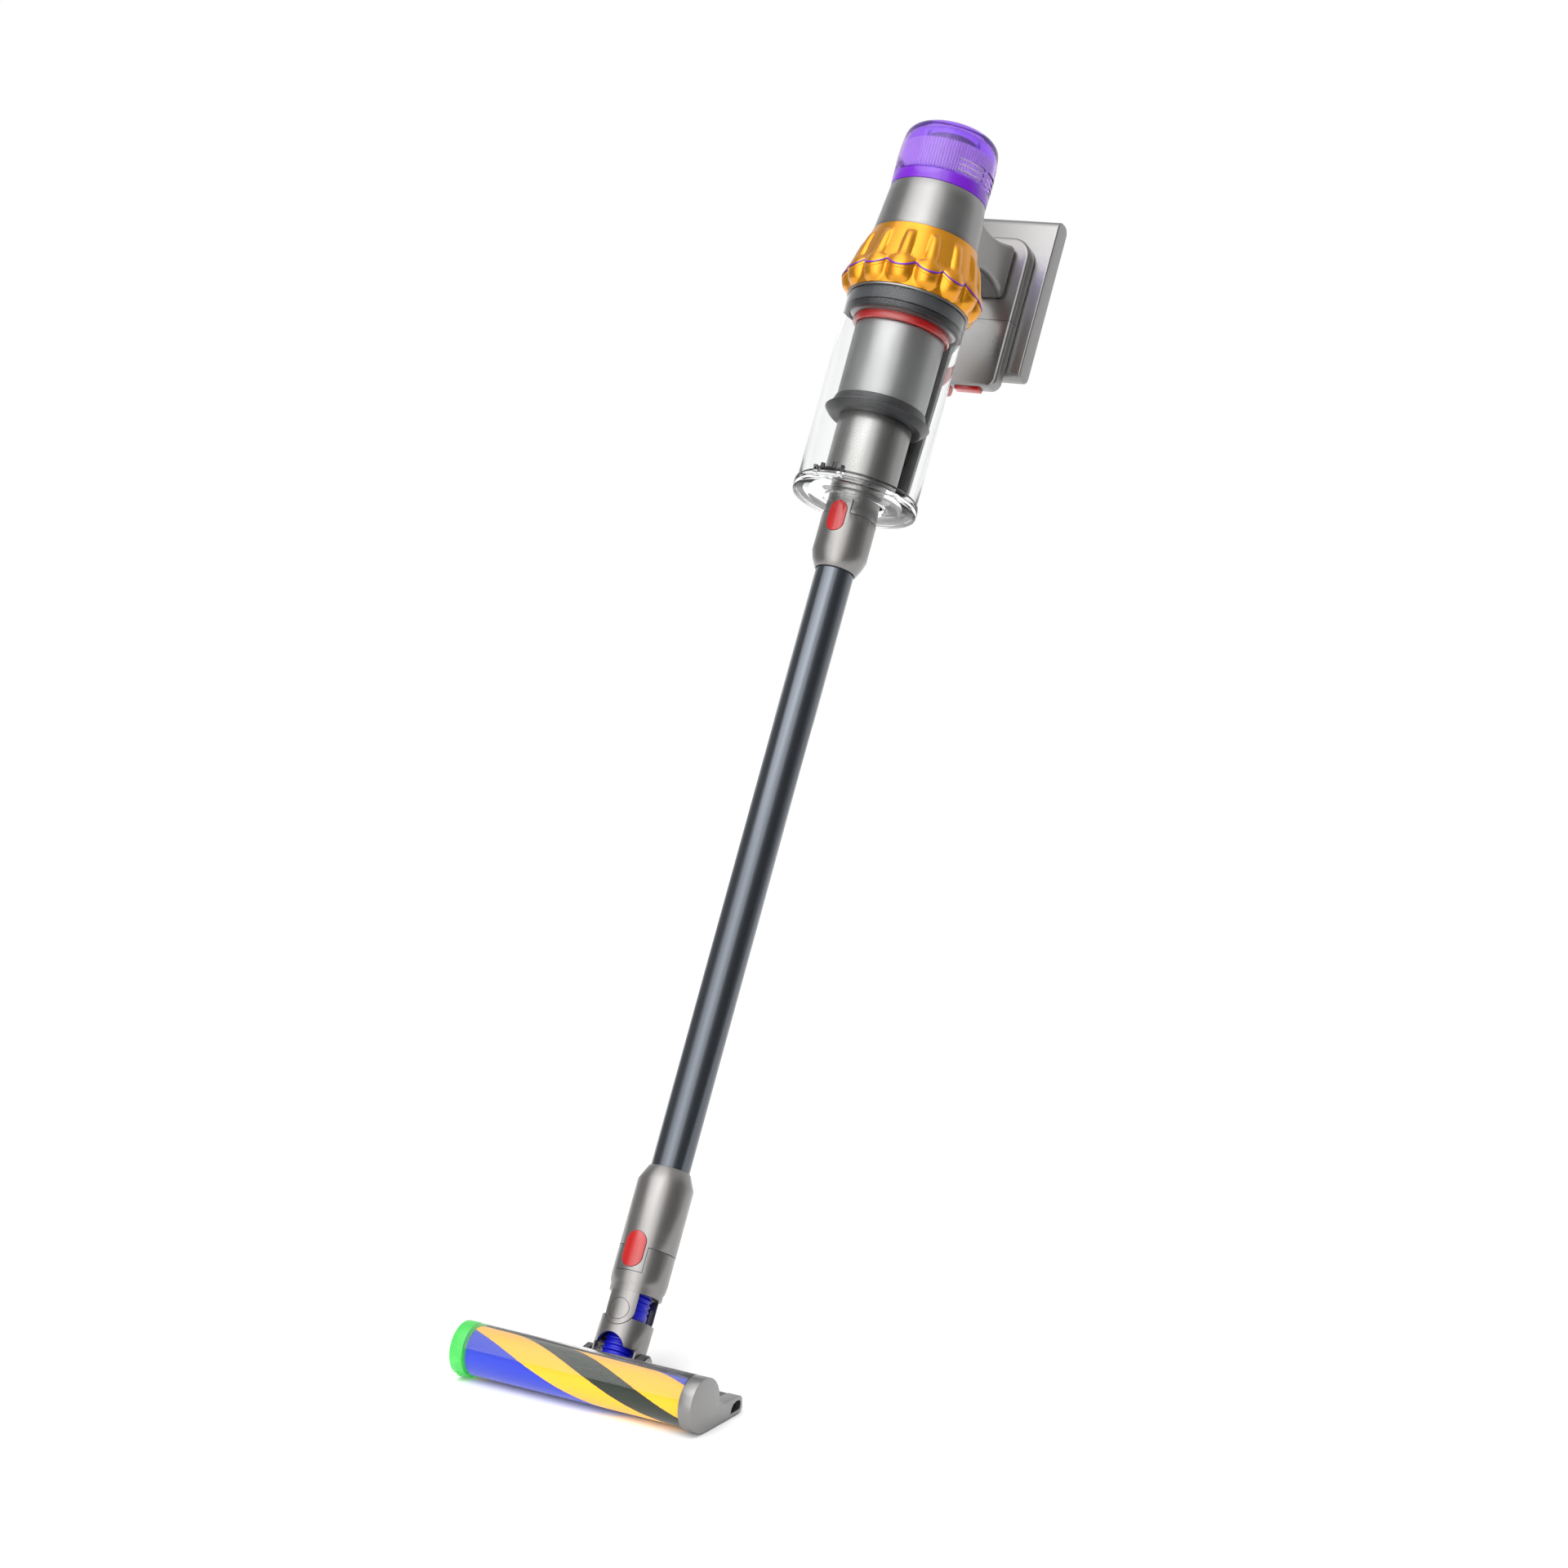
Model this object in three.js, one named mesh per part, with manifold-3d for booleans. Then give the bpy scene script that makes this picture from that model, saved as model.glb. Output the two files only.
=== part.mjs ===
// Cordless stick vacuum cleaner, in millimetres.
// +X runs along the cleaning head, -Y points forwards and +Z up. The origin is
// the middle of the head's sole, on the floor.
import * as THREE from 'three';
import { mergeVertices } from 'three/addons/utils/BufferGeometryUtils.js';
import Module from 'manifold-3d';

const wasm = await Module();
wasm.setup();

// ---- driving dimensions ----------------------------------------------------
const HEAD_WIDTH = 250;         // over both end caps
const CAP_WIDTH = 13;           // each end cap
const CAP_RADIUS = 24.7;        // round front of an end cap
const CAP_CENTRE_Z = 25.8;
const ROLLER_BACK = 44;         // roller axis ahead of the origin
const ROLLER_RADIUS = 21.6;
const ROLLER_CENTRE_Z = 24.8;
const HINGE_Y = 55.6;           // neck hinge behind the roller axis
const HINGE_Z = 26.2;
const HEAD_GAP = 0.4;

const LEAN = 30.74;             // wand leaning back, degrees
const SIDE_LEAN = -2.1;         // wand leaning sideways, degrees

// heights below are measured along the stick from the neck hinge
const SWIVEL_L = 40;            // side swivel of the neck
const NECK_RADIUS = 24;
const COLLAR_RADIUS = 26;
const LOWER_SEAM = 97.6;
const WAND_RADIUS = 18.1;
const WAND_BORE = 16.4;
const WAND_BOTTOM = 174;
const WAND_TOP = 756;
const UPPER_SEAM = 807.6;
const LOWER_BUTTON_L = 94.5;
const UPPER_BUTTON_L = 803;
const FLAP_L = 826;             // underside of the bin flap
const BIN_RADIUS = 57.5;
const BIN_BORE = 55.6;
const BIN_TOP = 1024;
const FLANGE_RADIUS = 59.5;
const FLAP_HOLE = 28.6;
const CYCLONES = 14;
const CYCLONE_SEAM = 1049, DROOP = 7;
const MOTOR_BOTTOM = 1092.4;
const MOTOR_TOP = 1141;
const DOME_TOP = 1209;
const PLATE_HALF = 45.5;        // battery plate, half its width
const PLATE_FRONT = 166;
const PLATE_BACK = 188;
const PLATE_LOW = 1034;
const PLATE_HIGH = 1204;
const BASE_HALF = 31;           // raised foot of the handle
const BASE_FRONT = 148.8;
const GRIP_HALF = 17;
const SPINE_HALF = 21;          // carrier down the back of the bin

// ---- finishes ----------------------------------------------------------------
const finish = (color, roughness, metalness, extra = {}) =>
  new THREE.MeshStandardMaterial({ color, roughness, metalness, ...extra });
const nickel = finish(0x8a8683, 0.35, 0.6);
const silver = finish(0xa3a3a5, 0.35, 0.6);
const anodised = finish(0x4a5056, 0.25, 0.9);
const gold = finish(0xd7930f, 0.3, 0.7);
const violet = finish(0x6a1fd0, 0.2, 0);
const clearViolet = finish(0x8a4cf0, 0.1, 0, { transparent: true, opacity: 0.6 });
const clear = finish(0xdfe4e6, 0.05, 0, { transparent: true, opacity: 0.3 });
const red = finish(0xc80808, 0.35, 0);
const black = finish(0x17181a, 0.5, 0);
const graphite = finish(0x3a3c3f, 0.4, 0.3);
const blue = finish(0x0f12b8, 0.45, 0);
const nap = finish(0xd9a31a, 0.95, 0);
const green = finish(0x2fae4a, 0.15, 0, { transparent: true, opacity: 0.6 });
const steel = finish(0xb5b7b9, 0.4, 0.9);
const paper = finish(0xe9e4f2, 0.9, 0);
const copper = finish(0xa8663a, 0.4, 0.8);

// ---- geometry helpers --------------------------------------------------------
const deg = THREE.MathUtils.degToRad;
const X = new THREE.Vector3(1, 0, 0);
const Y = new THREE.Vector3(0, 1, 0);
const Z = new THREE.Vector3(0, 0, 1);

// position-only geometry with shared vertices, no collapsed triangles, outward faces
function tidy(geometry) {
  const bare = new THREE.BufferGeometry();
  bare.setAttribute('position', geometry.getAttribute('position').clone());
  if (geometry.index) bare.setIndex(geometry.index.clone());
  const merged = mergeVertices(bare, 1e-4);
  const p = merged.getAttribute('position');
  const index = merged.index.array;
  const kept = [];
  let volume = 0;
  const a = new THREE.Vector3(), b = new THREE.Vector3(), c = new THREE.Vector3();
  for (let i = 0; i < index.length; i += 3) {
    const [u, v, w] = [index[i], index[i + 1], index[i + 2]];
    if (u === v || v === w || u === w) continue;
    kept.push(u, v, w);
    a.fromBufferAttribute(p, u); b.fromBufferAttribute(p, v); c.fromBufferAttribute(p, w);
    volume += a.dot(b.cross(c));
  }
  if (volume < 0) for (let i = 0; i < kept.length; i += 3) [kept[i], kept[i + 1]] = [kept[i + 1], kept[i]];
  merged.setIndex(kept);
  return merged;
}

function solid(geometry) {
  const g = tidy(geometry);
  return new wasm.Manifold(new wasm.Mesh({
    numProp: 3,
    vertProperties: new Float32Array(g.getAttribute('position').array),
    triVerts: new Uint32Array(g.index.array),
  }));
}

function surface(manifold) {
  const mesh = manifold.getMesh();
  const g = new THREE.BufferGeometry();
  g.setAttribute('position', new THREE.BufferAttribute(new Float32Array(mesh.vertProperties), 3));
  g.setIndex([...mesh.triVerts]);
  return g;
}

const join = (first, ...rest) => surface(rest.reduce((m, g) => m.add(solid(g)), solid(first)));
const cut = (first, ...rest) => surface(rest.reduce((m, g) => m.subtract(solid(g)), solid(first)));
const common = (first, ...rest) => surface(rest.reduce((m, g) => m.intersect(solid(g)), solid(first)));

// profile of [radius, height] pairs turned about Z
function turned(profile, segments = 24) {
  const points = profile.map(([r, l]) => new THREE.Vector2(r, l));
  if (profile[0][0] > 0) points.push(points[0].clone());
  return tidy(new THREE.LatheGeometry(points, segments).rotateX(Math.PI / 2));
}
const turnedX = (profile, segments) => turned(profile, segments).rotateY(Math.PI / 2);
const turnedY = (profile, segments) => turned(profile, segments).rotateX(-Math.PI / 2);

const ring = (inner, outer, low, high, segments) =>
  turned([[inner, low], [outer, low], [outer, high], [inner, high]], segments);
const rod = (radius, low, high, segments = 24) =>
  turned([[0, low], [radius, low], [radius, high], [0, high]], segments);

function box(x0, x1, y0, y1, z0, z1) {
  return tidy(new THREE.BoxGeometry(x1 - x0, y1 - y0, z1 - z0)
    .translate((x0 + x1) / 2, (y0 + y1) / 2, (z0 + z1) / 2));
}

const extrude = (shape, depth, bevel = 0, curveSegments = 8) => {
  const g = new THREE.ExtrudeGeometry(shape, {
    depth: depth - 2 * bevel, curveSegments, steps: 1,
    bevelEnabled: bevel > 0, bevelThickness: bevel, bevelSize: bevel, bevelOffset: -bevel, bevelSegments: 1,
  });
  return g.translate(0, 0, bevel);
};
// side outline in (y, z) extruded from x0 to x1
const sideways = (shape, x0, x1, bevel, curve) => tidy(extrude(shape, x1 - x0, bevel, curve)
  .applyMatrix4(new THREE.Matrix4().makeBasis(Y, Z, X)).translate(x0, 0, 0));
// front outline in (x, z) extruded from y0 to y1
const frontal = (shape, y0, y1, bevel, curve) => tidy(extrude(shape, y1 - y0, bevel, curve)
  .applyMatrix4(new THREE.Matrix4().makeBasis(X, Z, Y.clone().negate())).translate(0, y1, 0));

const polygon = (...points) => new THREE.Shape(points.map(([u, v]) => new THREE.Vector2(u, v)));
function rounded(u0, u1, v0, v1, r) {
  const s = new THREE.Shape();
  s.moveTo(u0 + r, v0); s.lineTo(u1 - r, v0); s.absarc(u1 - r, v0 + r, r, -Math.PI / 2, 0);
  s.lineTo(u1, v1 - r); s.absarc(u1 - r, v1 - r, r, 0, Math.PI / 2);
  s.lineTo(u0 + r, v1); s.absarc(u0 + r, v1 - r, r, Math.PI / 2, Math.PI);
  s.lineTo(u0, v0 + r); s.absarc(u0 + r, v0 + r, r, Math.PI, 1.5 * Math.PI);
  return s;
}

function piece(parent, name, geometry, material) {
  const mesh = new THREE.Mesh(geometry, material);
  mesh.name = name;
  parent.add(mesh);
  return mesh;
}

const vacuum = new THREE.Group();

// ================= cleaning head, from the roller axis =================
const head = new THREE.Group();
head.position.set(0, -ROLLER_BACK, 0);
vacuum.add(head);

const END = HEAD_WIDTH / 2;
const INNER = END - CAP_WIDTH;          // inner face of an end cap
const BODY = INNER - HEAD_GAP;

function capOutline(withOpening) {
  const s = new THREE.Shape();
  s.moveTo(0, CAP_CENTRE_Z - CAP_RADIUS);
  s.lineTo(59, 1.4);
  s.quadraticCurveTo(64.5, 1.6, 64.5, 7);
  s.lineTo(64.5, 11);
  s.quadraticCurveTo(64.5, 16.8, 58, 17);
  s.lineTo(36, 17.6);
  s.quadraticCurveTo(28, 18, 24.4, 21.97);
  s.absarc(0, CAP_CENTRE_Z, CAP_RADIUS, -0.155, 1.5 * Math.PI, false);
  if (withOpening) {
    const hole = new THREE.Path();
    hole.moveTo(44, 4.5);
    hole.lineTo(57, 4.5);
    hole.quadraticCurveTo(61.3, 4.8, 61.3, 9);
    hole.quadraticCurveTo(61, 13.6, 55, 13.8);
    hole.quadraticCurveTo(46, 13.6, 44, 4.5);
    s.holes.push(hole);
  }
  return s;
}
// right cap: grey, with the D-shaped opening through its tail and a socket for the motor
piece(head, 'end_cap_right', cut(
  sideways(capOutline(true), INNER, END, 1.2, 5),
  turnedX([[0, INNER - 1], [6.4, INNER - 1], [6.4, INNER + 6.4], [0, INNER + 6.4]], 16)
    .translate(0, 0, ROLLER_CENTRE_Z)), silver);
// left cap: clear green, with the roller's bearing hole and the lamp's pocket
piece(head, 'end_cap_left', cut(
  sideways(capOutline(false), -END, -INNER, 1.2, 5),
  turnedX([[0, -INNER - 7], [3.4, -INNER - 7], [3.4, -INNER + 1], [0, -INNER + 1]], 16)
    .translate(0, 0, ROLLER_CENTRE_Z),
  turnedY([[0, -30], [4.6, -30], [4.6, -5], [0, -5]], 16).translate(-118.5, 0, 9)), green);
// lamp that lights the floor ahead of the head
piece(head, 'floor_lamp', turnedY([[0, -17.2], [2.6, -18.2], [4.2, -16.6], [4.2, -5.3], [0, -5.3]], 16)
  .translate(-118.5, 0, 9), green);

// clear hood over the top and front of the roller
const arc = (inner, outer, from, to) => {
  const s = new THREE.Shape();
  s.absarc(0, CAP_CENTRE_Z, outer, deg(from), deg(to), false);
  s.absarc(0, CAP_CENTRE_Z, inner, deg(to), deg(from), true);
  return s;
};
piece(head, 'roller_hood', sideways(arc(23.2, CAP_RADIUS, 53, 158), -BODY, BODY, 0, 10), clear);

// body behind the roller: full-width shell, and the block that carries the neck
const shell = new THREE.Shape();
shell.moveTo(16.4, 2.8);
shell.lineTo(58, 2.8);
shell.quadraticCurveTo(63.8, 2.8, 63.8, 8);
shell.lineTo(63.8, 11);
shell.quadraticCurveTo(63.8, 16.4, 58, 16.4);
shell.lineTo(36, 17);
shell.quadraticCurveTo(28.5, 17.5, 24.49, 22.58);
shell.absarc(0, CAP_CENTRE_Z, CAP_RADIUS, deg(-7.5), deg(51.5), false);
shell.absarc(0, CAP_CENTRE_Z, 23.4, deg(51.5), deg(-45), true);
const cheeks = new THREE.Shape();
cheeks.moveTo(24, 3);
cheeks.lineTo(HINGE_Y + 8, 3);
cheeks.lineTo(HINGE_Y + 8, HINGE_Z);
cheeks.absarc(HINGE_Y, HINGE_Z, 8, 0, deg(110), false);
cheeks.lineTo(36, 31);
cheeks.lineTo(24, 31);
const WHEEL_X = 48, WHEEL_Y = 54, WHEEL_R = 7, WHEEL_Z = 7.1;
const well = (side) => turnedX([[0, side - 4.4], [8.2, side - 4.4], [8.2, side + 4.4], [0, side + 4.4]], 16)
  .translate(0, WHEEL_Y, WHEEL_Z);
const axleHole = (side) => turnedX([[0, side - 7], [1.9, side - 7], [1.9, side + 7], [0, side + 7]], 16)
  .translate(0, WHEEL_Y, WHEEL_Z);
piece(head, 'head_housing', cut(
  join(sideways(shell, -BODY, BODY, 0, 6), sideways(cheeks, -31, 31, 0, 4)),
  turnedX([[0, -24.6], [21.7, -24.6], [21.7, 24.6], [0, 24.6]], 24).translate(0, HINGE_Y, HINGE_Z),
  box(-24.6, 24.6, 29.3, 72, 20, 60),
  box(-24.6, 24.6, HINGE_Y, 72, 4.4, 60),
  box(-18, 18, 18, 36, 9, 24),
  turnedX([[0, -40], [4.9, -40], [4.9, 40], [0, 40]], 16).translate(0, HINGE_Y, HINGE_Z),
  well(WHEEL_X), well(-WHEEL_X), axleHole(WHEEL_X), axleHole(-WHEEL_X)), graphite);
// flat sole, slotted for the wheels
piece(head, 'sole_plate', cut(box(-108, 108, 28, 60, 0, 2.4),
  box(WHEEL_X - 4.6, WHEEL_X + 4.6, 45.4, 64, -1, 4), box(-WHEEL_X - 4.6, -WHEEL_X + 4.6, 45.4, 64, -1, 4)), black);
for (const [name, side] of [['wheel_right', WHEEL_X], ['wheel_left', -WHEEL_X]])
  piece(head, name, turnedX([[0, -6.4], [1.5, -6.4], [1.5, -3.6], [WHEEL_R, -3.6],
    [WHEEL_R, 3.6], [1.5, 3.6], [1.5, 6.4], [0, 6.4]], 24)
    .translate(side, WHEEL_Y, WHEEL_Z), black);

// roller: core with its left journal, sleeve of soft nap, and the motor inside it
piece(head, 'roller_core', turnedX([[0, -118], [3, -118], [3, -INNER + 0.7], [16.5, -INNER + 0.7],
  [16.5, INNER - 1], [13.2, INNER - 1], [13.2, -106], [0, -106]], 16).translate(0, 0, ROLLER_CENTRE_Z), graphite);
piece(head, 'roller_sleeve', turnedX([[16.9, -110.6], [ROLLER_RADIUS, -110.6], [ROLLER_RADIUS, 110.6], [16.9, 110.6]], 24)
  .translate(0, 0, ROLLER_CENTRE_Z), nap);
piece(head, 'roller_motor', turnedX([[0, -48], [4, -48], [4, -42], [12.4, -42], [12.4, 104], [6, 104], [6, 118], [0, 118]], 24)
  .translate(0, 0, ROLLER_CENTRE_Z), steel);

// hinge pins of the neck, held in the housing's cheeks
for (const [name, side] of [['neck_pin_right', 1], ['neck_pin_left', -1]])
  piece(head, name, turnedX([[0, side * 20.8], [4.6, side * 20.8], [4.6, side * 31.3], [6.2, side * 31.3],
    [6.2, side * 32.8], [0, side * 32.8]], 16).translate(0, HINGE_Y, HINGE_Z), silver);

// ================= neck elbow, then the stick that swivels on it =================
const neck = new THREE.Group();
neck.position.set(0, HINGE_Y - ROLLER_BACK, HINGE_Z);
neck.rotation.x = -deg(LEAN);
vacuum.add(neck);
const swivel = new THREE.Group();
swivel.position.z = SWIVEL_L;
swivel.rotation.y = deg(SIDE_LEAN);
neck.add(swivel);
const stick = new THREE.Group();
stick.position.z = -SWIVEL_L;
swivel.add(stick);

// elbow of the neck: shell with side lugs on the hinge pins, notches for the fork's
// tongues, inner tabs for the swivel pins and an arched window at the front
const tongueOutline = (half, low, high) => {
  const s = new THREE.Shape();
  s.moveTo(half, high);
  s.lineTo(-half, high);
  s.lineTo(-half, low);
  s.absarc(0, low, half, Math.PI, 2 * Math.PI, false);
  return s;
};
const lug = new THREE.Shape();
lug.absarc(0, 0, 9.5, Math.PI, 2 * Math.PI, false);
lug.lineTo(9.5, 22);
lug.lineTo(-9.5, 22);
const lugs = common(join(sideways(lug, 20.7, 24.2, 0, 5), sideways(lug, -24.2, -20.7, 0, 5)), rod(24.2, -12, 24, 28));
const tabs = [-1, 1].flatMap((side) => {
  const [near, far, root] = [15.9 * side, 18.1 * side, 23 * side];
  return [box(-10, 10, Math.min(near, far), Math.max(near, far), 19.5, 50),
    common(rod(22, 19.5, 24.6, 28), box(-9.9, 9.9, Math.min(far, root) - 0.5, Math.max(far, root) + 0.5, 19, 25))];
});
piece(neck, 'neck_elbow', cut(
  join(cut(ring(20.6, NECK_RADIUS, 8, 34, 28),
    frontal(tongueOutline(14.8, SWIVEL_L, 60), -40, 40, 0, 7),
    frontal(tongueOutline(14.5, -10, 4).clone(), -40, 0, 0, 7),
    turnedY([[0, -40], [14.5, -40], [14.5, 0], [0, 0]], 24).translate(0, 0, 4)),
  lugs, ...tabs),
  turnedX([[0, -30], [5, -30], [5, 30], [0, 30]], 16),
  turnedY([[0, -30], [5.9, -30], [5.9, 30], [0, 30]], 16).translate(0, 0, SWIVEL_L)), nickel);

// pleated hose through the neck: the lower length, and the upper with its ball end
const bellows = (low, high, inner, outer, bore, steps) => {
  const points = [[bore, low]];
  for (let i = 0; i <= 2 * steps; i++)
    points.push([i % 2 ? outer : inner, low + (high - low) * i / (2 * steps)]);
  points.push([bore, high]);
  return points;
};
piece(neck, 'hose_lower', turned(bellows(-12.5, 28, 14, 15.5, 12.4, 5), 16), blue);
piece(stick, 'hose_upper', turned([[12, 30.2], [13.6, 31.6], [15, 35.5], [15.5, 40], [14.3, 43],
  [15.5, 46], [14.3, 49], [15.5, 52], [14.3, 55], [15.5, 58], [14.6, 62], [12, 62]], 14), blue);

// fork of the neck: collar with two tongues and the slot for the wand's latch
piece(stick, 'neck_fork', cut(
  join(turned([[18.6, 57], [24.2, 57], [24.2, 62.5], [25.3, 65], [COLLAR_RADIUS, 72], [COLLAR_RADIUS, LOWER_SEAM], [18.6, LOWER_SEAM]], 24),
    common(cut(rod(NECK_RADIUS, 20, 58, 28), box(-40, 40, -18.4, 18.4, 0, 60)),
      frontal(tongueOutline(14.2, SWIVEL_L, 60), -40, 40, 0, 7))),
  turnedY([[0, -40], [10, -40], [10, 40], [0, 40]], 28).translate(0, 0, SWIVEL_L),
  box(-12.9, 12.9, -40, -8, 74.5, 120)), nickel);
// swivel pins: round heads flush in the tongues
for (const [name, side] of [['swivel_pin_front', -1], ['swivel_pin_rear', 1]])
  piece(stick, name, common(turnedY([[0, side * 16.2], [5.5, side * 16.2], [5.5, side * 21.2], [9.6, side * 21.2],
    [9.6, side * 25], [0, side * 25]], 28).translate(0, 0, SWIVEL_L), rod(NECK_RADIUS + 0.1, 20, 60, 28)), nickel);

// wand: tube, and a collar with a latch button at each end
piece(stick, 'wand_tube', turned([[WAND_BORE, 68], [WAND_RADIUS, 68], [WAND_RADIUS, 832], [WAND_BORE, 832]], 24), anodised);
const stadium = (half, low, high) => rounded(-half, half, low, high, half - 0.01);
function wandCollar(profile, tongueHalf, tongueLow, tongueHigh, buttonHalf, buttonLow, buttonHigh) {
  const shellPart = join(turned(profile, 48),
    common(ring(18.9, COLLAR_RADIUS, tongueLow, tongueHigh, 24), box(-tongueHalf, tongueHalf, -40, -8, tongueLow, tongueHigh)));
  return cut(shellPart, frontal(stadium(buttonHalf + 0.35, buttonLow - 0.35, buttonHigh + 0.35), -40, -20.2, 0, 4));
}
const latchButton = (half, low, high) => common(frontal(stadium(half, low, high), -30, -22.4, 0, 4),
  rod(COLLAR_RADIUS + 0.7, low - 5, high + 5, 24));
piece(stick, 'wand_collar_lower', wandCollar(
  [[18.4, 98], [COLLAR_RADIUS, 98], [COLLAR_RADIUS, 160], [19.6, WAND_BOTTOM], [18.4, WAND_BOTTOM]],
  12.5, 75, 99, 10, LOWER_BUTTON_L - 16.5, LOWER_BUTTON_L + 16.5), nickel);
piece(stick, 'wand_button_lower', latchButton(10, LOWER_BUTTON_L - 16.5, LOWER_BUTTON_L + 16.5), red);
piece(stick, 'wand_collar_upper', wandCollar(
  [[18.4, WAND_TOP], [19.6, WAND_TOP], [23.5, 764], [COLLAR_RADIUS, 772], [COLLAR_RADIUS, UPPER_SEAM], [18.4, UPPER_SEAM]],
  11.3, 806, 821, 8.6, UPPER_BUTTON_L - 15, UPPER_BUTTON_L + 15), nickel);
piece(stick, 'wand_button_upper', latchButton(8.6, UPPER_BUTTON_L - 15, UPPER_BUTTON_L + 15), red);

// inlet that the wand plugs into, slotted for the wand's latch
piece(stick, 'inlet_socket', cut(
  turned([[18.6, 808], [25.9, 808], [25.1, 812], [24.6, 826], [24.6, 838], [18.6, 838]], 24),
  box(-11.7, 11.7, -40, -8, 800, 821.5)), silver);

// ---- bin, its flap and what stands inside it ----
piece(stick, 'inner_cylinder', turned([[20, 838.4], [33, 838.4], [35, 840.4], [35, 904.6], [33, 904.6], [33, 841.5], [20, 841.5]], 24), silver);
piece(stick, 'shroud_skirt', turned([[33.2, 905], [45, 905], [50, 911], [48.6, 912], [43.4, 921.6], [33.2, 921.6]], 24), black);
piece(stick, 'shroud_mesh', ring(40.8, 42, 922, 995, 28), steel);
piece(stick, 'shroud_ring', turned([[40.9, 995.4], [44.8, 995.4], [45.6, 996.6], [45.6, 1003], [40.9, 1003]], 24), red);
piece(stick, 'shroud_cone', turned([[41, 1003.4], [46.4, 1003.4], [49.6, 1005], [49.6, 1011.6], [41, 1011.6]], 24), silver);
piece(stick, 'bin_seal', turned([[50, 1004.6], [54.2, 1004.6], [55.1, 1006], [55.1, 1010.4], [54.2, 1011.6], [50, 1011.6]], 24), black);
piece(stick, 'bin_head_ring', turned([[41, 1012], [55.1, 1012], [55.1, 1024.4], [58.6, 1024.4], [58.6, 1026.4], [41, 1026.4]], 24), silver);

const HINGE_LINE_Y = -62.6, HINGE_LINE_L = 828.4;
const knuckle = (x0, x1) => join(
  turnedX([[0, x0], [2.7, x0], [2.7, x1], [0, x1]], 14).translate(0, HINGE_LINE_Y, HINGE_LINE_L),
  box(x0, x1, HINGE_LINE_Y, HINGE_LINE_Y + 8, HINGE_LINE_L - 1.4, HINGE_LINE_L + 1));
const binLug = (x0, x1) => join(
  turnedX([[0, x0], [2.7, x0], [2.7, x1], [0, x1]], 14).translate(0, HINGE_LINE_Y, HINGE_LINE_L),
  box(x0, x1, HINGE_LINE_Y - 2.7, HINGE_LINE_Y + 2.2, HINGE_LINE_L, 834),
  box(x0, x1, HINGE_LINE_Y - 2.7, HINGE_LINE_Y + 8, 831, 834));
const pinHole = turnedX([[0, -30], [1.6, -30], [1.6, 30], [0, 30]], 16).translate(0, HINGE_LINE_Y, HINGE_LINE_L);
piece(stick, 'dust_bin', cut(
  join(turned([[BIN_BORE, 830], [FLANGE_RADIUS, 830], [FLANGE_RADIUS, 833.6], [BIN_RADIUS, 835.5], [BIN_RADIUS, BIN_TOP], [BIN_BORE, BIN_TOP]], 28),
    binLug(10.3, 14.5), binLug(-14.5, -10.3)), pinHole, rod(BIN_BORE, 800, 900, 28)), clear);
piece(stick, 'bin_flap', cut(
  join(turned([[FLAP_HOLE, FLAP_L - 1.2], [31, FLAP_L - 1.2], [33, FLAP_L], [42, FLAP_L], [44, FLAP_L - 0.9], [46, FLAP_L], [59.2, FLAP_L],
    [59.2, 829.6], [FLAP_HOLE, 829.6]], 28),
  knuckle(-9.9, 9.9)), pinHole), clear);
piece(stick, 'flap_seal', turned([[49.6, 830], [54.6, 830], [55.1, 831], [54.6, 832.6], [49.6, 832.6]], 28), black);
piece(stick, 'flap_hinge_pin', turnedX([[0, -15.6], [1.3, -15.6], [1.3, 15.6], [0, 15.6]], 16)
  .translate(0, HINGE_LINE_Y, HINGE_LINE_L), steel);

// spine down the back of the bin and the lever that empties it
// its top forks round the trigger to meet the grip
piece(stick, 'bin_spine', cut(sideways(polygon([60.3, 838], [64, 838], [66.3, 846], [66.3, 1004], [76, 1022], [76, 1104.6], [70, 1104.6],
  [70, 1026.5], [60.3, 1018]), -SPINE_HALF, SPINE_HALF, 0),
  box(-8.8, 8.8, 60, 80, 1088, 1110)), graphite);
piece(stick, 'bin_lever', sideways(polygon([66.7, 968], [74, 969], [103, 983], [104.5, 987], [104.5, 991], [101, 993], [66.7, 990]), -13.5, 13.5, 1), red);

// ---- cyclones: a lower and an upper moulding with a seal between them ----
// the two mouldings meet on a cone, so that the seam dips round every bowl
const SHELF = 58.5, VALLEY = 61.5, BOWL = 68;
const seam = (l) => [VALLEY, BOWL, CYCLONE_SEAM + l, 0.6, DROOP];
const shelf = (r, l) => [r, r, CYCLONE_SEAM + l + DROOP * (VALLEY - SHELF) / (BOWL - VALLEY)];
function cycloneRing(rows) {
  // rows: radius in the valley, radius on the bowl, height in the valley, sharpness and droop of the bowl
  const g = turned(rows.map(([r, , l]) => [r, l]), CYCLONES * 4);
  const p = g.getAttribute('position');
  for (let i = 0; i < p.count; i++) {
    const x = p.getX(i), y = p.getY(i), l = p.getZ(i);
    const row = rows.find(([r, , h]) => Math.abs(h - l) < 1e-3 && Math.abs(Math.hypot(x, y) - r) < 1e-3);
    if (!row) continue;
    const [valley, bowl, , sharpness = 1, droop = 0] = row;
    const wave = Math.abs(Math.sin(CYCLONES / 2 * Math.atan2(x, -y))) ** sharpness;
    const scale = (valley + (bowl - valley) * wave) / valley;
    p.setXYZ(i, x * scale, y * scale, l - droop * wave);
  }
  return g;
}
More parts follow.
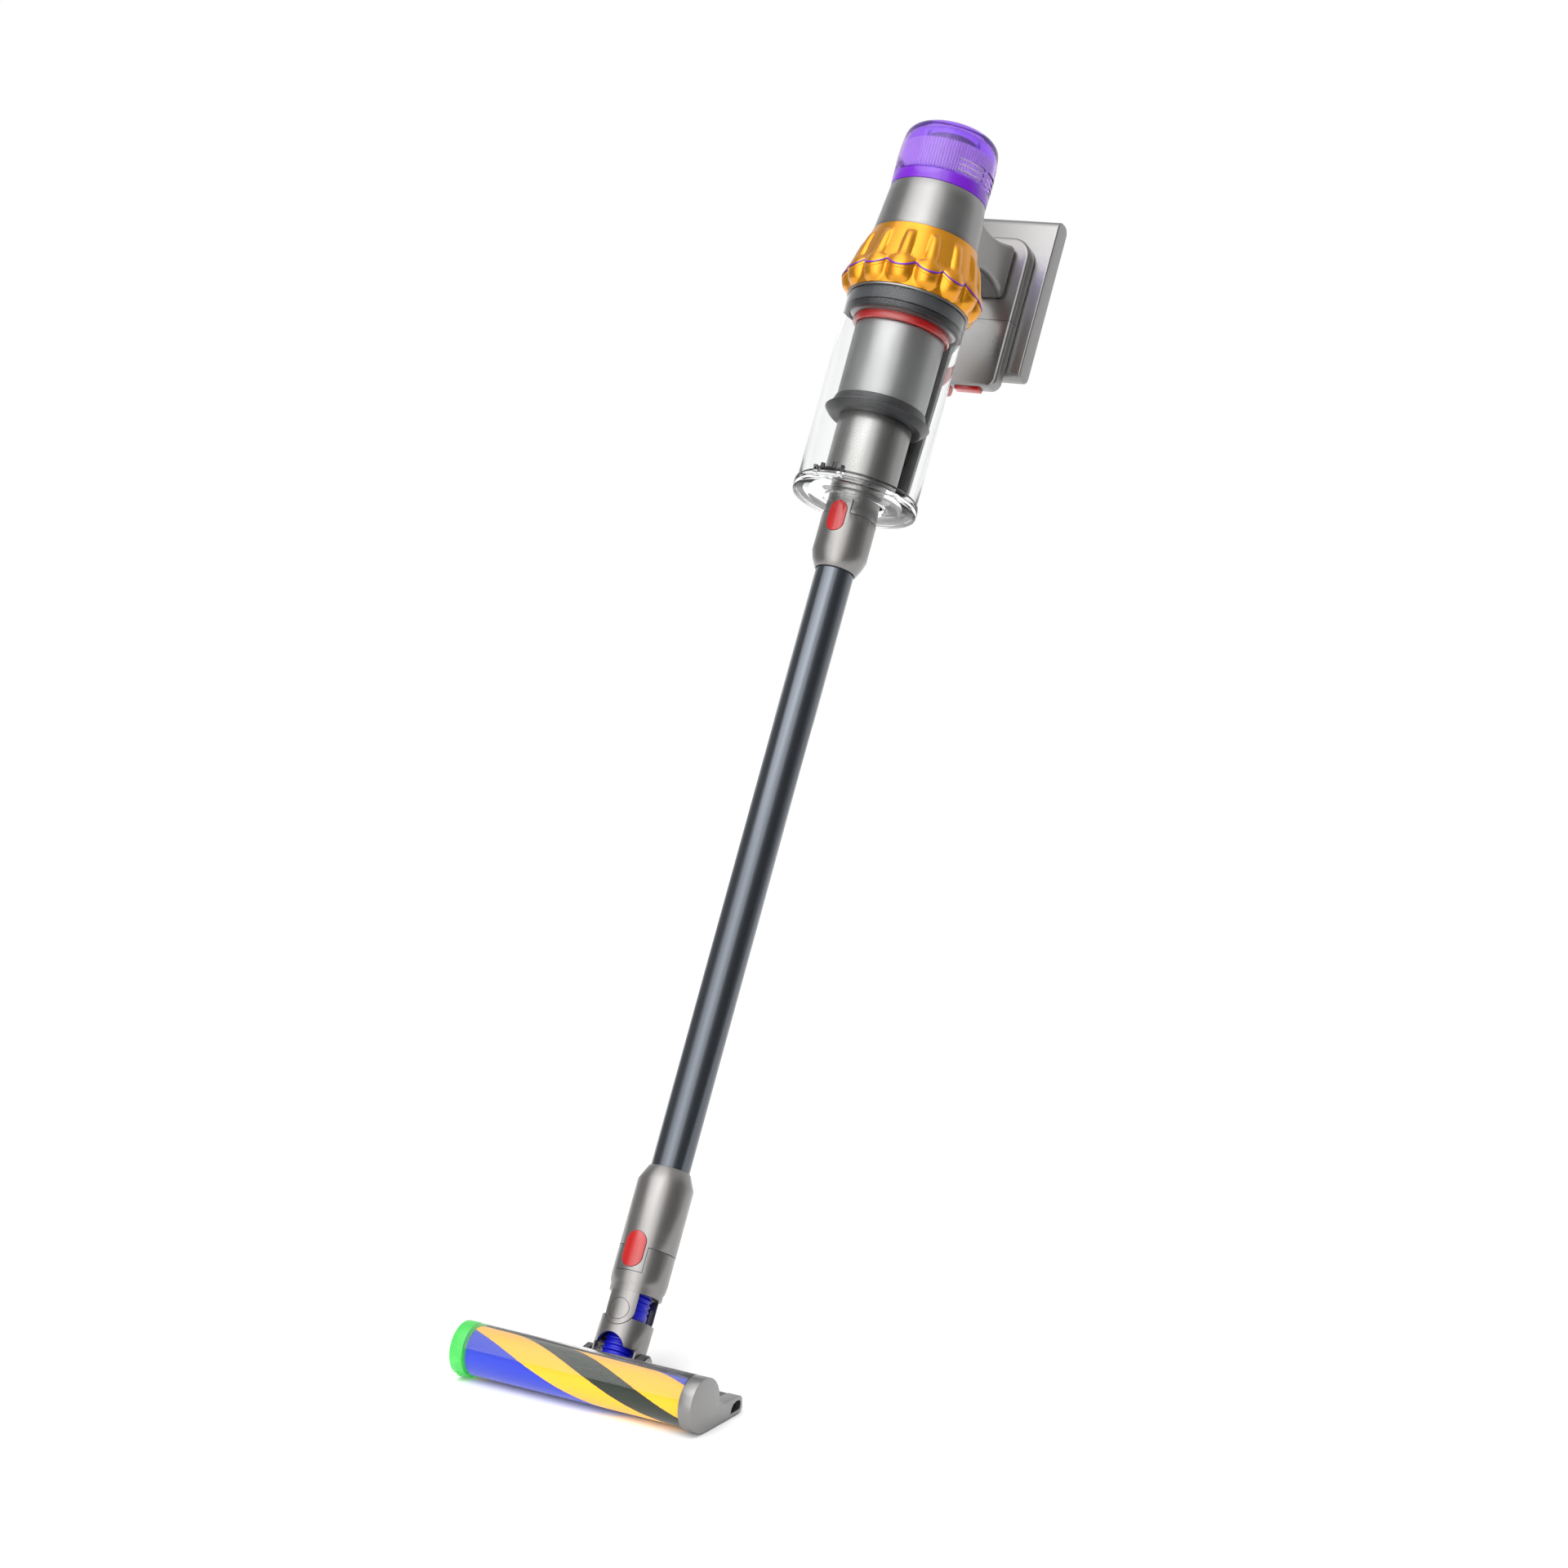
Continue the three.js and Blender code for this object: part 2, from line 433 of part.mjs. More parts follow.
piece(stick, 'cyclone_lower', cycloneRing([[42, 42, 1026.8], [58.5, 59.4, 1026.8], [59.4, 64.5, 1031, 0.8],
  [60.6, 67, 1036.5, 0.7, 1.5], seam(-0.9), shelf(SHELF, -0.9), shelf(42, -0.9)]), gold);
piece(stick, 'cyclone_seal', cycloneRing([shelf(SHELF, -0.5), seam(-0.5), seam(0.7), shelf(SHELF, 0.7)]), violet);
piece(stick, 'cyclone_upper', cycloneRing([shelf(46, 1.1), shelf(SHELF, 1.1), seam(1.1), [62.6, 67.6, 1053.5, 0.6, 2],
  [62, 65.2, 1056, 2], [60.6, 64.4, 1066, 2.6], [57.8, 61.4, 1076, 2.8], [54.4, 56, 1085, 3],
  [51.6, 51.6, 1092], [46, 46, 1092]]), gold);
piece(stick, 'core_duct', ring(28.4, 30, 1003, 1084, 32), graphite);

// ---- motor: housing, can, impeller on its shaft, and the end plate ----
const housingOutline = [[51.2, MOTOR_BOTTOM], [50, 1103], [48.2, 1122], [46.4, MOTOR_TOP]];
piece(stick, 'motor_housing', turned([[48, MOTOR_BOTTOM], ...housingOutline, [43.8, MOTOR_TOP], [45.2, 1122], [47, 1103]], 28), silver);
piece(stick, 'motor_can', turned([[3.6, 1101], [12, 1099.5], [28, 1101], [28, 1131], [24, 1134], [0, 1134], [0, 1130], [3.6, 1130]], 16), copper);
const blade = (angle) => new THREE.BoxGeometry(1.2, 16, 9).translate(0, 17, 1091.5).rotateZ(angle);
piece(stick, 'impeller', join(turned([[0, 1085.4], [5, 1086.4], [11, 1091], [26, 1096.2], [26, 1097.6], [3.2, 1097.6], [3.2, 1128.6], [0, 1128.6]], 16),
  ...Array.from({ length: 7 }, (_, i) => blade(i * 2 * Math.PI / 7))), steel);
piece(stick, 'motor_end_plate', turned([[0, 1136.2], [43.3, 1136.2], [43.3, 1140.4], [23.4, 1140.4], [23.4, 1198.2], [0, 1198.2]], 24), graphite);
piece(stick, 'display', turned([[0, 1198.6], [22.6, 1198.6], [22.6, 1200.4], [21.6, 1201], [0, 1201]], 24), black);

// ---- filter: base ring, pleated ring and clear domed cover with its outlet slots ----
piece(stick, 'filter_base', turned([[28, 1141.4], [46.5, 1141.4], [46.9, 1152.8], [44.6, 1152.8], [44.4, 1144.6], [28, 1144.6]], 28), violet);
const pleats = new THREE.Shape();
const PLEATS = 40;
for (let i = 0; i < 2 * PLEATS; i++) {
  const r = i % 2 ? 38.4 : 43.2, t = Math.PI * i / PLEATS;
  if (i) pleats.lineTo(r * Math.cos(t), r * Math.sin(t)); else pleats.moveTo(r, 0);
}
pleats.holes.push(new THREE.Path().absarc(0, 0, 29, 0, 2 * Math.PI, true));
piece(stick, 'filter_pleats', tidy(extrude(pleats, 41, 0, 12).translate(0, 0, 1145)), paper);
const SLOT_GROUPS = 6;
const slots = [];
for (let k = 0; k < SLOT_GROUPS; k++) for (const l of [1157.6, 1163.2, 1168.8]) {
  const s = new THREE.Shape();
  const mid = deg(60.5 - 90 + 45 * k), half = deg(19.5);
  s.absarc(0, 0, 52, mid - half, mid + half, false);
  s.absarc(0, 0, 40, mid + half, mid - half, true);
  slots.push(tidy(extrude(s, 2.6, 0, 1).translate(0, 0, l - 1.3)));
}
piece(stick, 'filter_cover', cut(turned([[44.7, 1153.2], [46.9, 1153.2], [47.3, 1170], [46.6, 1187], [45.6, 1195], [43.6, 1200],
  [40, 1204], [34, 1207], [25.4, DOME_TOP], [24, 1205.6], [24, 1150], [26, 1150], [26.2, 1204.2], [32, 1202.6], [38, 1199.8],
  [41.6, 1197], [43.4, 1193.4], [44.4, 1187], [45.1, 1170]], 28), ...slots), clearViolet);

// ---- handle: grip with its trigger, and the raised foot it stands on ----
const grip = polygon([40, 1102], [66, 1105], [82, 1108.5], [100, 1112.5], [118, 1113.5], [134, 1111], [148.4, 1106],
  [148.4, 1164], [134, 1160], [114, 1154], [92, 1151], [70, 1153], [52, 1158], [40, 1160]);
const handleGrip = cut(sideways(grip, -GRIP_HALF, GRIP_HALF, 5),
  turned([[0, 1080], [51.6, 1080], [51.6, MOTOR_BOTTOM], [50.5, 1103], [48.7, 1122], [47.3, MOTOR_TOP], [47.3, 1152.8], [48, 1166], [48, 1175], [0, 1175]], 28),
  box(-20, 20, 0, 49.5, 1128, 1180), box(-8.6, 8.6, 66, 98, 1090, 1128));
piece(stick, 'handle_grip', handleGrip, nickel);
piece(stick, 'trigger', sideways(polygon([66.4, 1095], [70, 1094], [86, 1097.4], [95, 1104], [97.6, 1110], [97.6, 1121], [66.4, 1121]), -8.2, 8.2, 1), red);
const footOutline = (low, high, lowR, highR) => {
  const s = new THREE.Shape();
  const h = BASE_HALF;
  s.moveTo(-h + lowR, low); s.lineTo(h - lowR, low); s.absarc(h - lowR, low + lowR, lowR, -Math.PI / 2, 0);
  s.lineTo(h, high - highR); s.absarc(h - highR, high - highR, highR, 0, Math.PI / 2);
  s.lineTo(-h + highR, high); s.absarc(-h + highR, high - highR, highR, Math.PI / 2, Math.PI);
  s.lineTo(-h, low + lowR); s.absarc(-h + lowR, low + lowR, lowR, Math.PI, 1.5 * Math.PI);
  return s;
};
const foot = frontal(footOutline(1016, 1175, 9, 22), BASE_FRONT, 165.6, 3.5, 8);
piece(stick, 'handle_foot', common(foot, box(-40, 40, 140, 170, 1086, 1200)), nickel);

// ---- battery: body with its front hump, plate and release button ----
const hump = new THREE.Shape();
hump.moveTo(140, 1016); hump.lineTo(152, 1016); hump.lineTo(152, 1081);
hump.lineTo(136, 1081); hump.quadraticCurveTo(131, 1081, 131, 1076); hump.lineTo(131, 1024); hump.quadraticCurveTo(131, 1019, 140, 1016);
piece(stick, 'battery_body', cut(
  join(common(foot, box(-40, 40, 140, 170, 1000, 1085.6)), sideways(hump, -19.5, 19.5, 2, 5)),
  frontal(rounded(-8, 8, 1026, 1076, 7), 120, 137, 0, 5),
  box(-13.5, 13.5, 151.8, 163, 1000, 1021.5)), silver);
piece(stick, 'battery_release', sideways(rounded(152.2, 162.6, 1012.6, 1018.8, 2), -13.1, 13.1, 1, 4), red);
piece(stick, 'battery_plate', sideways(rounded(PLATE_FRONT, PLATE_BACK, PLATE_LOW, PLATE_HIGH, 8), -PLATE_HALF, PLATE_HALF, 2, 6), silver);

export default vacuum;
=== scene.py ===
"""Cordless stick vacuum: the fine surfaces and finishes of every piece, with a
pale floor, soft studio light and a camera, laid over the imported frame."""
import math

import bmesh
import bpy
from mathutils import Matrix, Vector


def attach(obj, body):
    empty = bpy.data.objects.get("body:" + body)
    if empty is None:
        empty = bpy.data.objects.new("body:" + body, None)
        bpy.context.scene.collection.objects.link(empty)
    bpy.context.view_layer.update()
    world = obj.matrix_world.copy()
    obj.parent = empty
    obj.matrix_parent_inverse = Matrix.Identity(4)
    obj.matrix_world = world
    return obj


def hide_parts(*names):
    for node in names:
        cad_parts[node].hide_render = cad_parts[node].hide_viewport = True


bl_info = {
    "name": "Cordless Stick Vacuum",
    "version": (1, 0, 0),
    "blender": (4, 5, 0),
    "location": "3D View > Sidebar > Stick Vacuum",
    "description": "Builds the pieces of a cordless stick vacuum over its CAD frame",
    "category": "Add Mesh",
}

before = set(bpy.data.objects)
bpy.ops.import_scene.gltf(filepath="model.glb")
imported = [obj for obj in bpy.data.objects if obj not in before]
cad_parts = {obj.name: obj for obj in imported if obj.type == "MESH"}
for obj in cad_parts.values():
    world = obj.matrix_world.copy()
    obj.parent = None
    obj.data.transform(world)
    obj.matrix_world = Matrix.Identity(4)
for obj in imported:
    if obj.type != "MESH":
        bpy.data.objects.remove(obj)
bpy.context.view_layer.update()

# ---- the three frames the pieces are modelled in, millimetres to metres ----
LEAN = math.radians(30.74)
SIDE_LEAN = math.radians(-2.1)
SWIVEL = 40.0
MILLIMETRE = Matrix.Scale(0.001, 4)
HINGE = Matrix.Translation((0, 0.0116, 0.0262))
HEAD = Matrix.Translation((0, -0.044, 0)) @ MILLIMETRE
NECK = HINGE @ Matrix.Rotation(-LEAN, 4, "X") @ MILLIMETRE
STICK = (NECK @ Matrix.Translation((0, 0, SWIVEL)) @ Matrix.Rotation(SIDE_LEAN, 4, "Y")
         @ Matrix.Translation((0, 0, -SWIVEL)))
TAU = 2 * math.pi

# ---- sizes that several pieces share, in millimetres ----
HALF_WIDTH, CAP_INSIDE, HOOD_HALF = 125, 112, 111.6     # cleaning head, from its middle
CAP_RADIUS, CAP_HEIGHT, ROLLER_HEIGHT = 24.7, 25.8, 24.8
NECK_RADIUS, COLLAR_RADIUS = 24, 26
WAND_BORE, WAND_RADIUS, WAND_LOW, WAND_HIGH = 16.4, 18.1, 68, 832
BIN_BORE, BIN_RADIUS, BIN_LOW, BIN_TOP = 55.6, 57.5, 830, 1024
FLAP_HINGE_Y, FLAP_HINGE_L = -62.6, 828.4
FOOT_FRONT, FOOT_BACK = 148.8, 165.6                    # raised foot of the handle
GRIP_HALF, PLATE_HALF = 17, 45.5


# ======================= shaping =======================
def spun(profile, steps=96, along="Z"):
    """A profile of (radius, height) pairs spun a full turn; it closes on itself or on the axis."""
    bm = bmesh.new()
    verts = [bm.verts.new((r, 0, h)) for r, h in profile]
    pairs = list(zip(verts, verts[1:]))
    if profile[0][0] > 0:
        pairs.append((verts[-1], verts[0]))
    edges = [bm.edges.new(p) for p in pairs]
    bmesh.ops.spin(bm, geom=verts + edges, cent=(0, 0, 0), axis=(0, 0, 1), dvec=(0, 0, 0), angle=TAU,
                   steps=steps, use_merge=True)
    bmesh.ops.remove_doubles(bm, verts=bm.verts, dist=1e-4)
    return turned_to(bm, along)


def turned_to(bm, along):
    if along == "X":
        bmesh.ops.rotate(bm, verts=bm.verts, matrix=Matrix.Rotation(math.pi / 2, 3, "Y"))
    if along == "Y":
        bmesh.ops.rotate(bm, verts=bm.verts, matrix=Matrix.Rotation(-math.pi / 2, 3, "X"))
    bmesh.ops.recalc_face_normals(bm, faces=bm.faces)
    return bm


def slab(outline, low, high, along="Z"):
    """An outline extruded from low to high: (y, z) along X, (x, z) along Y or (x, y) along Z."""
    put = {"X": lambda u, v: (low, u, v), "Y": lambda u, v: (u, low, v), "Z": lambda u,
           v: (u, v, low)}[along]
    step = {"X": (high - low, 0, 0), "Y": (0, high - low, 0), "Z": (0, 0, high - low)}[along]
    bm = bmesh.new()
    face = bm.faces.new([bm.verts.new(put(u, v)) for u, v in outline])
    made = bmesh.ops.extrude_face_region(bm, geom=[face])
    bmesh.ops.translate(bm, verts=[v for v in made["geom"] if isinstance(v, bmesh.types.BMVert)],
                        vec=step)
    bmesh.ops.recalc_face_normals(bm, faces=bm.faces)
    return bm


def block(x0, x1, y0, y1, z0, z1):
    bm = bmesh.new()
    bmesh.ops.create_cube(bm, size=1)
    bmesh.ops.scale(bm, verts=bm.verts, vec=(x1 - x0, y1 - y0, z1 - z0))
    bmesh.ops.translate(bm, verts=bm.verts, vec=((x0 + x1) / 2, (y0 + y1) / 2, (z0 + z1) / 2))
    return bm


def moved(bm, x=0, y=0, z=0):
    bmesh.ops.translate(bm, verts=bm.verts, vec=(x, y, z))
    return bm


def soften(bm, width, segments=2, sharper=28):
    """Rounds every edge sharper than an angle."""
    limit = math.radians(sharper)
    edges = [e for e in bm.edges if len(e.link_faces) == 2 and e.calc_face_angle(0) > limit]
    bmesh.ops.bevel(bm, geom=edges, offset=width, offset_type="OFFSET", segments=segments, profile=0.5,
                    affect="EDGES", material=-1, clamp_overlap=True)
    return bm


def combined(bm, others, operation):
    """Joins, cuts or keeps what is common, with a Boolean modifier on short-lived objects."""
    made = []
    for part in [bm, *others]:
        mesh = bpy.data.meshes.new("shaping")
        part.to_mesh(mesh)
        part.free()
        made.append(bpy.data.objects.new("shaping", mesh))
        bpy.context.scene.collection.objects.link(made[-1])
    for other in made[1:]:
        mod = made[0].modifiers.new("shape", "BOOLEAN")
        mod.operation, mod.solver, mod.object = operation, "EXACT", other
    result = bmesh.new()
    result.from_object(made[0], bpy.context.evaluated_depsgraph_get())
    for o in made:
        mesh = o.data
        bpy.data.objects.remove(o)
        bpy.data.meshes.remove(mesh)
    return result


def cut(bm, *others):
    return combined(bm, others, "DIFFERENCE")


def joined(bm, *others):
    return combined(bm, others, "UNION")


def common(bm, *others):
    return combined(bm, others, "INTERSECT")


def arc(cx, cy, r, start, end, steps):
    """Points of an arc, in degrees."""
    return [(cx + r * math.cos(math.radians(start + (end - start) * i / steps)),
             cy + r * math.sin(math.radians(start + (end - start) * i / steps))) for i in range(steps + 1)]


def rounded(u0, u1, v0, v1, r, steps=8):
    return (arc(u1 - r, v0 + r, r, -90, 0, steps) + arc(u1 - r, v1 - r, r, 0, 90, steps)
            + arc(u0 + r, v1 - r, r, 90, 180, steps) + arc(u0 + r, v0 + r, r, 180, 270, steps))


def stadium(half, low, high):
    return arc(0, high - half, half, 0, 180, 20) + arc(0, low + half, half, 180, 360, 20)


def tongue(half, low, high):
    return [(half, high), (-half, high)] + arc(0, low, half, 180, 360, 24)


def place(name, bm, where, body, finish, replaces=(), sharp=32):
    """Writes a finished piece into the scene, smooth-shaded except over sharp edges."""
    bmesh.ops.transform(bm, matrix=where, verts=bm.verts)
    limit = math.radians(sharp)
    for f in bm.faces:
        f.smooth = True
    for e in bm.edges:
        e.smooth = not (len(e.link_faces) == 2 and e.calc_face_angle(0) > limit)
    mesh = bpy.data.meshes.new(name)
    bm.to_mesh(mesh)
    bm.free()
    mesh.materials.append(finish)
    piece = bpy.data.objects.new(name, mesh)
    bpy.context.scene.collection.objects.link(piece)
    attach(piece, body)
    if replaces:
        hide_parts(*([replaces] if isinstance(replaces, str) else replaces))
    return piece


def dress(node, finish):
    """Gives a CAD node that keeps its own shape its finish."""
    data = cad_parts[node].data
    data.materials.clear()
    data.materials.append(finish)


# ======================= finishes =======================
def node_group(name, inputs, outputs):
    group = bpy.data.node_groups.new(name, "ShaderNodeTree")
    for label, kind, default in inputs:
        socket = group.interface.new_socket(name=label, in_out="INPUT", socket_type=kind)
        socket.default_value = default
    for label, kind in outputs:
        group.interface.new_socket(name=label, in_out="OUTPUT", socket_type=kind)
    return group, group.nodes.new("NodeGroupInput"), group.nodes.new("NodeGroupOutput")


def math_node(tree, operation, a, b=None, clamp=False):
    n = tree.nodes.new("ShaderNodeMath")
    n.operation, n.use_clamp = operation, clamp
    for socket, value in zip(n.inputs, (a, b)):
        if value is None:
            continue
        if isinstance(value, (int, float)):
            socket.default_value = value
        else:
            tree.links.new(value, socket)
    return n.outputs[0]


def noise(tree, vector, scale, detail=3.0, roughness=0.55):
    n = tree.nodes.new("ShaderNodeTexNoise")
    if isinstance(scale, (int, float)):
        n.inputs["Scale"].default_value = scale
    else:
        tree.links.new(scale, n.inputs["Scale"])
    n.inputs["Detail"].default_value = detail
    n.inputs["Roughness"].default_value = roughness
    tree.links.new(vector, n.inputs["Vector"])
    return n.outputs["Fac"]


def stick_coordinates(tree, stretch=(1, 1, 1)):
    """Object coordinates turned so that Z runs along the stick from the neck hinge, in metres."""
    coord = tree.nodes.new("ShaderNodeTexCoord")
    mapping = tree.nodes.new("ShaderNodeMapping")
    mapping.vector_type = "TEXTURE"
    base = STICK @ Matrix.Scale(1000, 4)
    mapping.inputs["Location"].default_value = base.to_translation()
    mapping.inputs["Rotation"].default_value = base.to_euler()
    tree.links.new(coord.outputs["Object"], mapping.inputs["Vector"])
    if stretch == (1, 1, 1):
        return mapping.outputs[0]
    scaled = tree.nodes.new("ShaderNodeVectorMath")
    scaled.operation = "MULTIPLY"
    scaled.inputs[1].default_value = stretch
    tree.links.new(mapping.outputs[0], scaled.inputs[0])
    return scaled.outputs[0]


_groups = {}


def grain_group():
    """Fine grain, slow mottling and light wear, on Object coordinates."""
    if "grain" in _groups:
        return _groups["grain"]
    group, gin, gout = node_group("Moulded Grain", [("Fine Scale", "NodeSocketFloat", 2400.0),
                                                    ("Mottle Scale", "NodeSocketFloat", 22.0),
                                                    ("Colour", "NodeSocketColor", (0.5, 0.5, 0.5, 1)),
                                                    ("Roughness", "NodeSocketFloat", 0.4),
                                                    ("Variation", "NodeSocketFloat", 0.06)],
                                  [("Colour", "NodeSocketColor"), ("Roughness", "NodeSocketFloat"),
                                   ("Height", "NodeSocketFloat")])
    coord = group.nodes.new("ShaderNodeTexCoord").outputs["Object"]
    fine = noise(group, coord, gin.outputs["Fine Scale"], 2)
    mottle = noise(group, coord, gin.outputs["Mottle Scale"], 4)
    scuff = noise(group, coord, 140.0, 5, 0.7)
    centred = math_node(group, "SUBTRACT", mottle, 0.5)
    tint = math_node(group, "MULTIPLY_ADD", centred, gin.outputs["Variation"])
    tint.node.inputs[2].default_value = 1.0
    shade = group.nodes.new("ShaderNodeVectorMath")
    shade.operation = "SCALE"
    group.links.new(gin.outputs["Colour"], shade.inputs[0])
    group.links.new(tint, shade.inputs["Scale"])
    group.links.new(shade.outputs[0], gout.inputs["Colour"])
    marks = math_node(group, "GREATER_THAN", scuff, 0.66)
    rough = math_node(group, "MULTIPLY", math_node(group, "ADD", centred,
                                                   math_node(group, "MULTIPLY", marks, 0.35)), 0.22)
    group.links.new(math_node(group, "ADD", rough, gin.outputs["Roughness"], True),
                    gout.inputs["Roughness"])
    group.links.new(fine, gout.inputs["Height"])
    _groups["grain"] = group
    return group


def finish_base(name, metallic=0.0, coat=0.0, coat_roughness=0.1, transmission=0.0, ior=1.46, alpha=None):
    mat = bpy.data.materials.new(name)
    mat.use_nodes = True
    tree = mat.node_tree
    shader = tree.nodes["Principled BSDF"]
    shader.inputs["Metallic"].default_value = metallic
    shader.inputs["Coat Weight"].default_value = coat
    shader.inputs["Coat Roughness"].default_value = coat_roughness
    shader.inputs["Transmission Weight"].default_value = transmission
    shader.inputs["IOR"].default_value = ior
    return mat, tree, shader


def raise_bump(tree, shader, height, strength, distance):
    bump = tree.nodes.new("ShaderNodeBump")
    bump.inputs["Strength"].default_value = strength
    bump.inputs["Distance"].default_value = distance
    tree.links.new(height, bump.inputs["Height"])
    tree.links.new(bump.outputs[0], shader.inputs["Normal"])


def grained(name, colour, roughness, metallic=0.0, coat=0.0, fine=2400.0, mottle=22.0, variation=0.06,
            bump=0.08, **kw):
    """A moulded or painted finish with fine grain."""
    mat, tree, shader = finish_base(name, metallic, coat, **kw)
    g = tree.nodes.new("ShaderNodeGroup")
    g.node_tree = grain_group()
    g.inputs["Fine Scale"].default_value = fine
    g.inputs["Mottle Scale"].default_value = mottle
    g.inputs["Colour"].default_value = (*colour, 1)
    g.inputs["Roughness"].default_value = roughness
    g.inputs["Variation"].default_value = variation
    tree.links.new(g.outputs["Colour"], shader.inputs["Base Color"])
    tree.links.new(g.outputs["Roughness"], shader.inputs["Roughness"])
    raise_bump(tree, shader, g.outputs["Height"], bump, 0.0002)
    return mat


def brushed(name, colour, roughness, metallic, lengthwise=True, strength=0.1, coat=0.0):
    """Metal with fine lines along or round the stick."""
    mat, tree, shader = finish_base(name, metallic, coat)
    lines = noise(tree, stick_coordinates(tree, (1, 1, 0.015) if lengthwise else (0.02, 0.02, 1)), 2600.0,
                  4)
    broad = noise(tree, stick_coordinates(tree, (1, 1, 0.1)), 40.0, 3)
    ramp = tree.nodes.new("ShaderNodeMix")
    ramp.data_type = "RGBA"
    ramp.inputs["A"].default_value = (*[c * 0.9 for c in colour], 1)
    ramp.inputs["B"].default_value = (*[min(1, c * 1.08) for c in colour], 1)
    tree.links.new(lines, ramp.inputs["Factor"])
    tree.links.new(ramp.outputs["Result"], shader.inputs["Base Color"])
    rough = math_node(tree, "ADD", math_node(tree, "MULTIPLY", math_node(tree, "ADD", lines, broad),
                                             0.12), roughness - 0.12)
    tree.links.new(rough, shader.inputs["Roughness"])
    raise_bump(tree, shader, lines, strength, 0.0001)
    return mat


def shade_banded(mat, colour):
    """Paints shade into a clear cover: its colour deepens towards its rim at the top and its foot at the
    base.
    """
    tree = mat.node_tree
    shader = tree.nodes["Principled BSDF"]
    xyz = tree.nodes.new("ShaderNodeSeparateXYZ")
    tree.links.new(stick_coordinates(tree), xyz.inputs[0])
    ramp = tree.nodes.new("ShaderNodeValToRGB")
    # painted shade: a deeper tone of the cover's colour below its foot and over its domed top
    painted_dark = [c ** 2.6 for c in colour]
    stops = [(0.0, painted_dark), (0.05, colour), (0.72, colour), (0.80, painted_dark), (1.0, painted_dark)]
    for i, (position, tone) in enumerate(stops):
        e = ramp.color_ramp.elements[i] if i < 2 else ramp.color_ramp.elements.new(position)
        e.position, e.color = position, (*tone, 1)
    height = math_node(tree, "DIVIDE", math_node(tree, "SUBTRACT", xyz.outputs["Z"], 1.153), 0.056)
    tree.links.new(height, ramp.inputs["Fac"])
    mix = tree.nodes.new("ShaderNodeMix")
    mix.data_type, mix.blend_type = "RGBA", "MULTIPLY"
    mix.inputs["Factor"].default_value = 0.15
    grain = shader.inputs["Base Color"].links[0].from_socket
    tree.links.new(ramp.outputs["Color"], mix.inputs["A"])
    tree.links.new(grain, mix.inputs["B"])
    tree.links.new(mix.outputs["Result"], shader.inputs["Base Color"])
    return mat


def perforated(name):
    """Steel sheet with a staggered field of tiny round holes."""
    mat, tree, shader = finish_base(name, 0.95)
    xyz = tree.nodes.new("ShaderNodeSeparateXYZ")
    tree.links.new(stick_coordinates(tree), xyz.inputs[0])
    round_it = math_node(tree, "ARCTAN2", xyz.outputs["X"], xyz.outputs["Y"])
    u = math_node(tree, "MULTIPLY", round_it, 150.0)
    v = math_node(tree, "MULTIPLY", xyz.outputs["Z"], 150.0 / 0.042)
    wave = math_node(tree, "MULTIPLY", math_node(tree, "SINE", math_node(tree, "ADD", u, v)),
                     math_node(tree, "SINE", math_node(tree, "SUBTRACT", u, v)))
    hole = math_node(tree, "MULTIPLY", math_node(tree, "SUBTRACT", wave, 0.1), 4.0, True)
    mix = tree.nodes.new("ShaderNodeMix")
    mix.data_type = "RGBA"
    mix.inputs["A"].default_value = (0.42, 0.42, 0.42, 1)
    mix.inputs["B"].default_value = (0.05, 0.05, 0.05, 1)
    tree.links.new(hole, mix.inputs["Factor"])
    tree.links.new(mix.outputs["Result"], shader.inputs["Base Color"])
    tree.links.new(math_node(tree, "MULTIPLY_ADD", hole, 0.3), shader.inputs["Roughness"])
    shader.inputs["Roughness"].links[0].from_node.inputs[2].default_value = 0.3
    raise_bump(tree, shader, math_node(tree, "SUBTRACT", 1.0, hole), 0.5, 0.0003)
    return mat


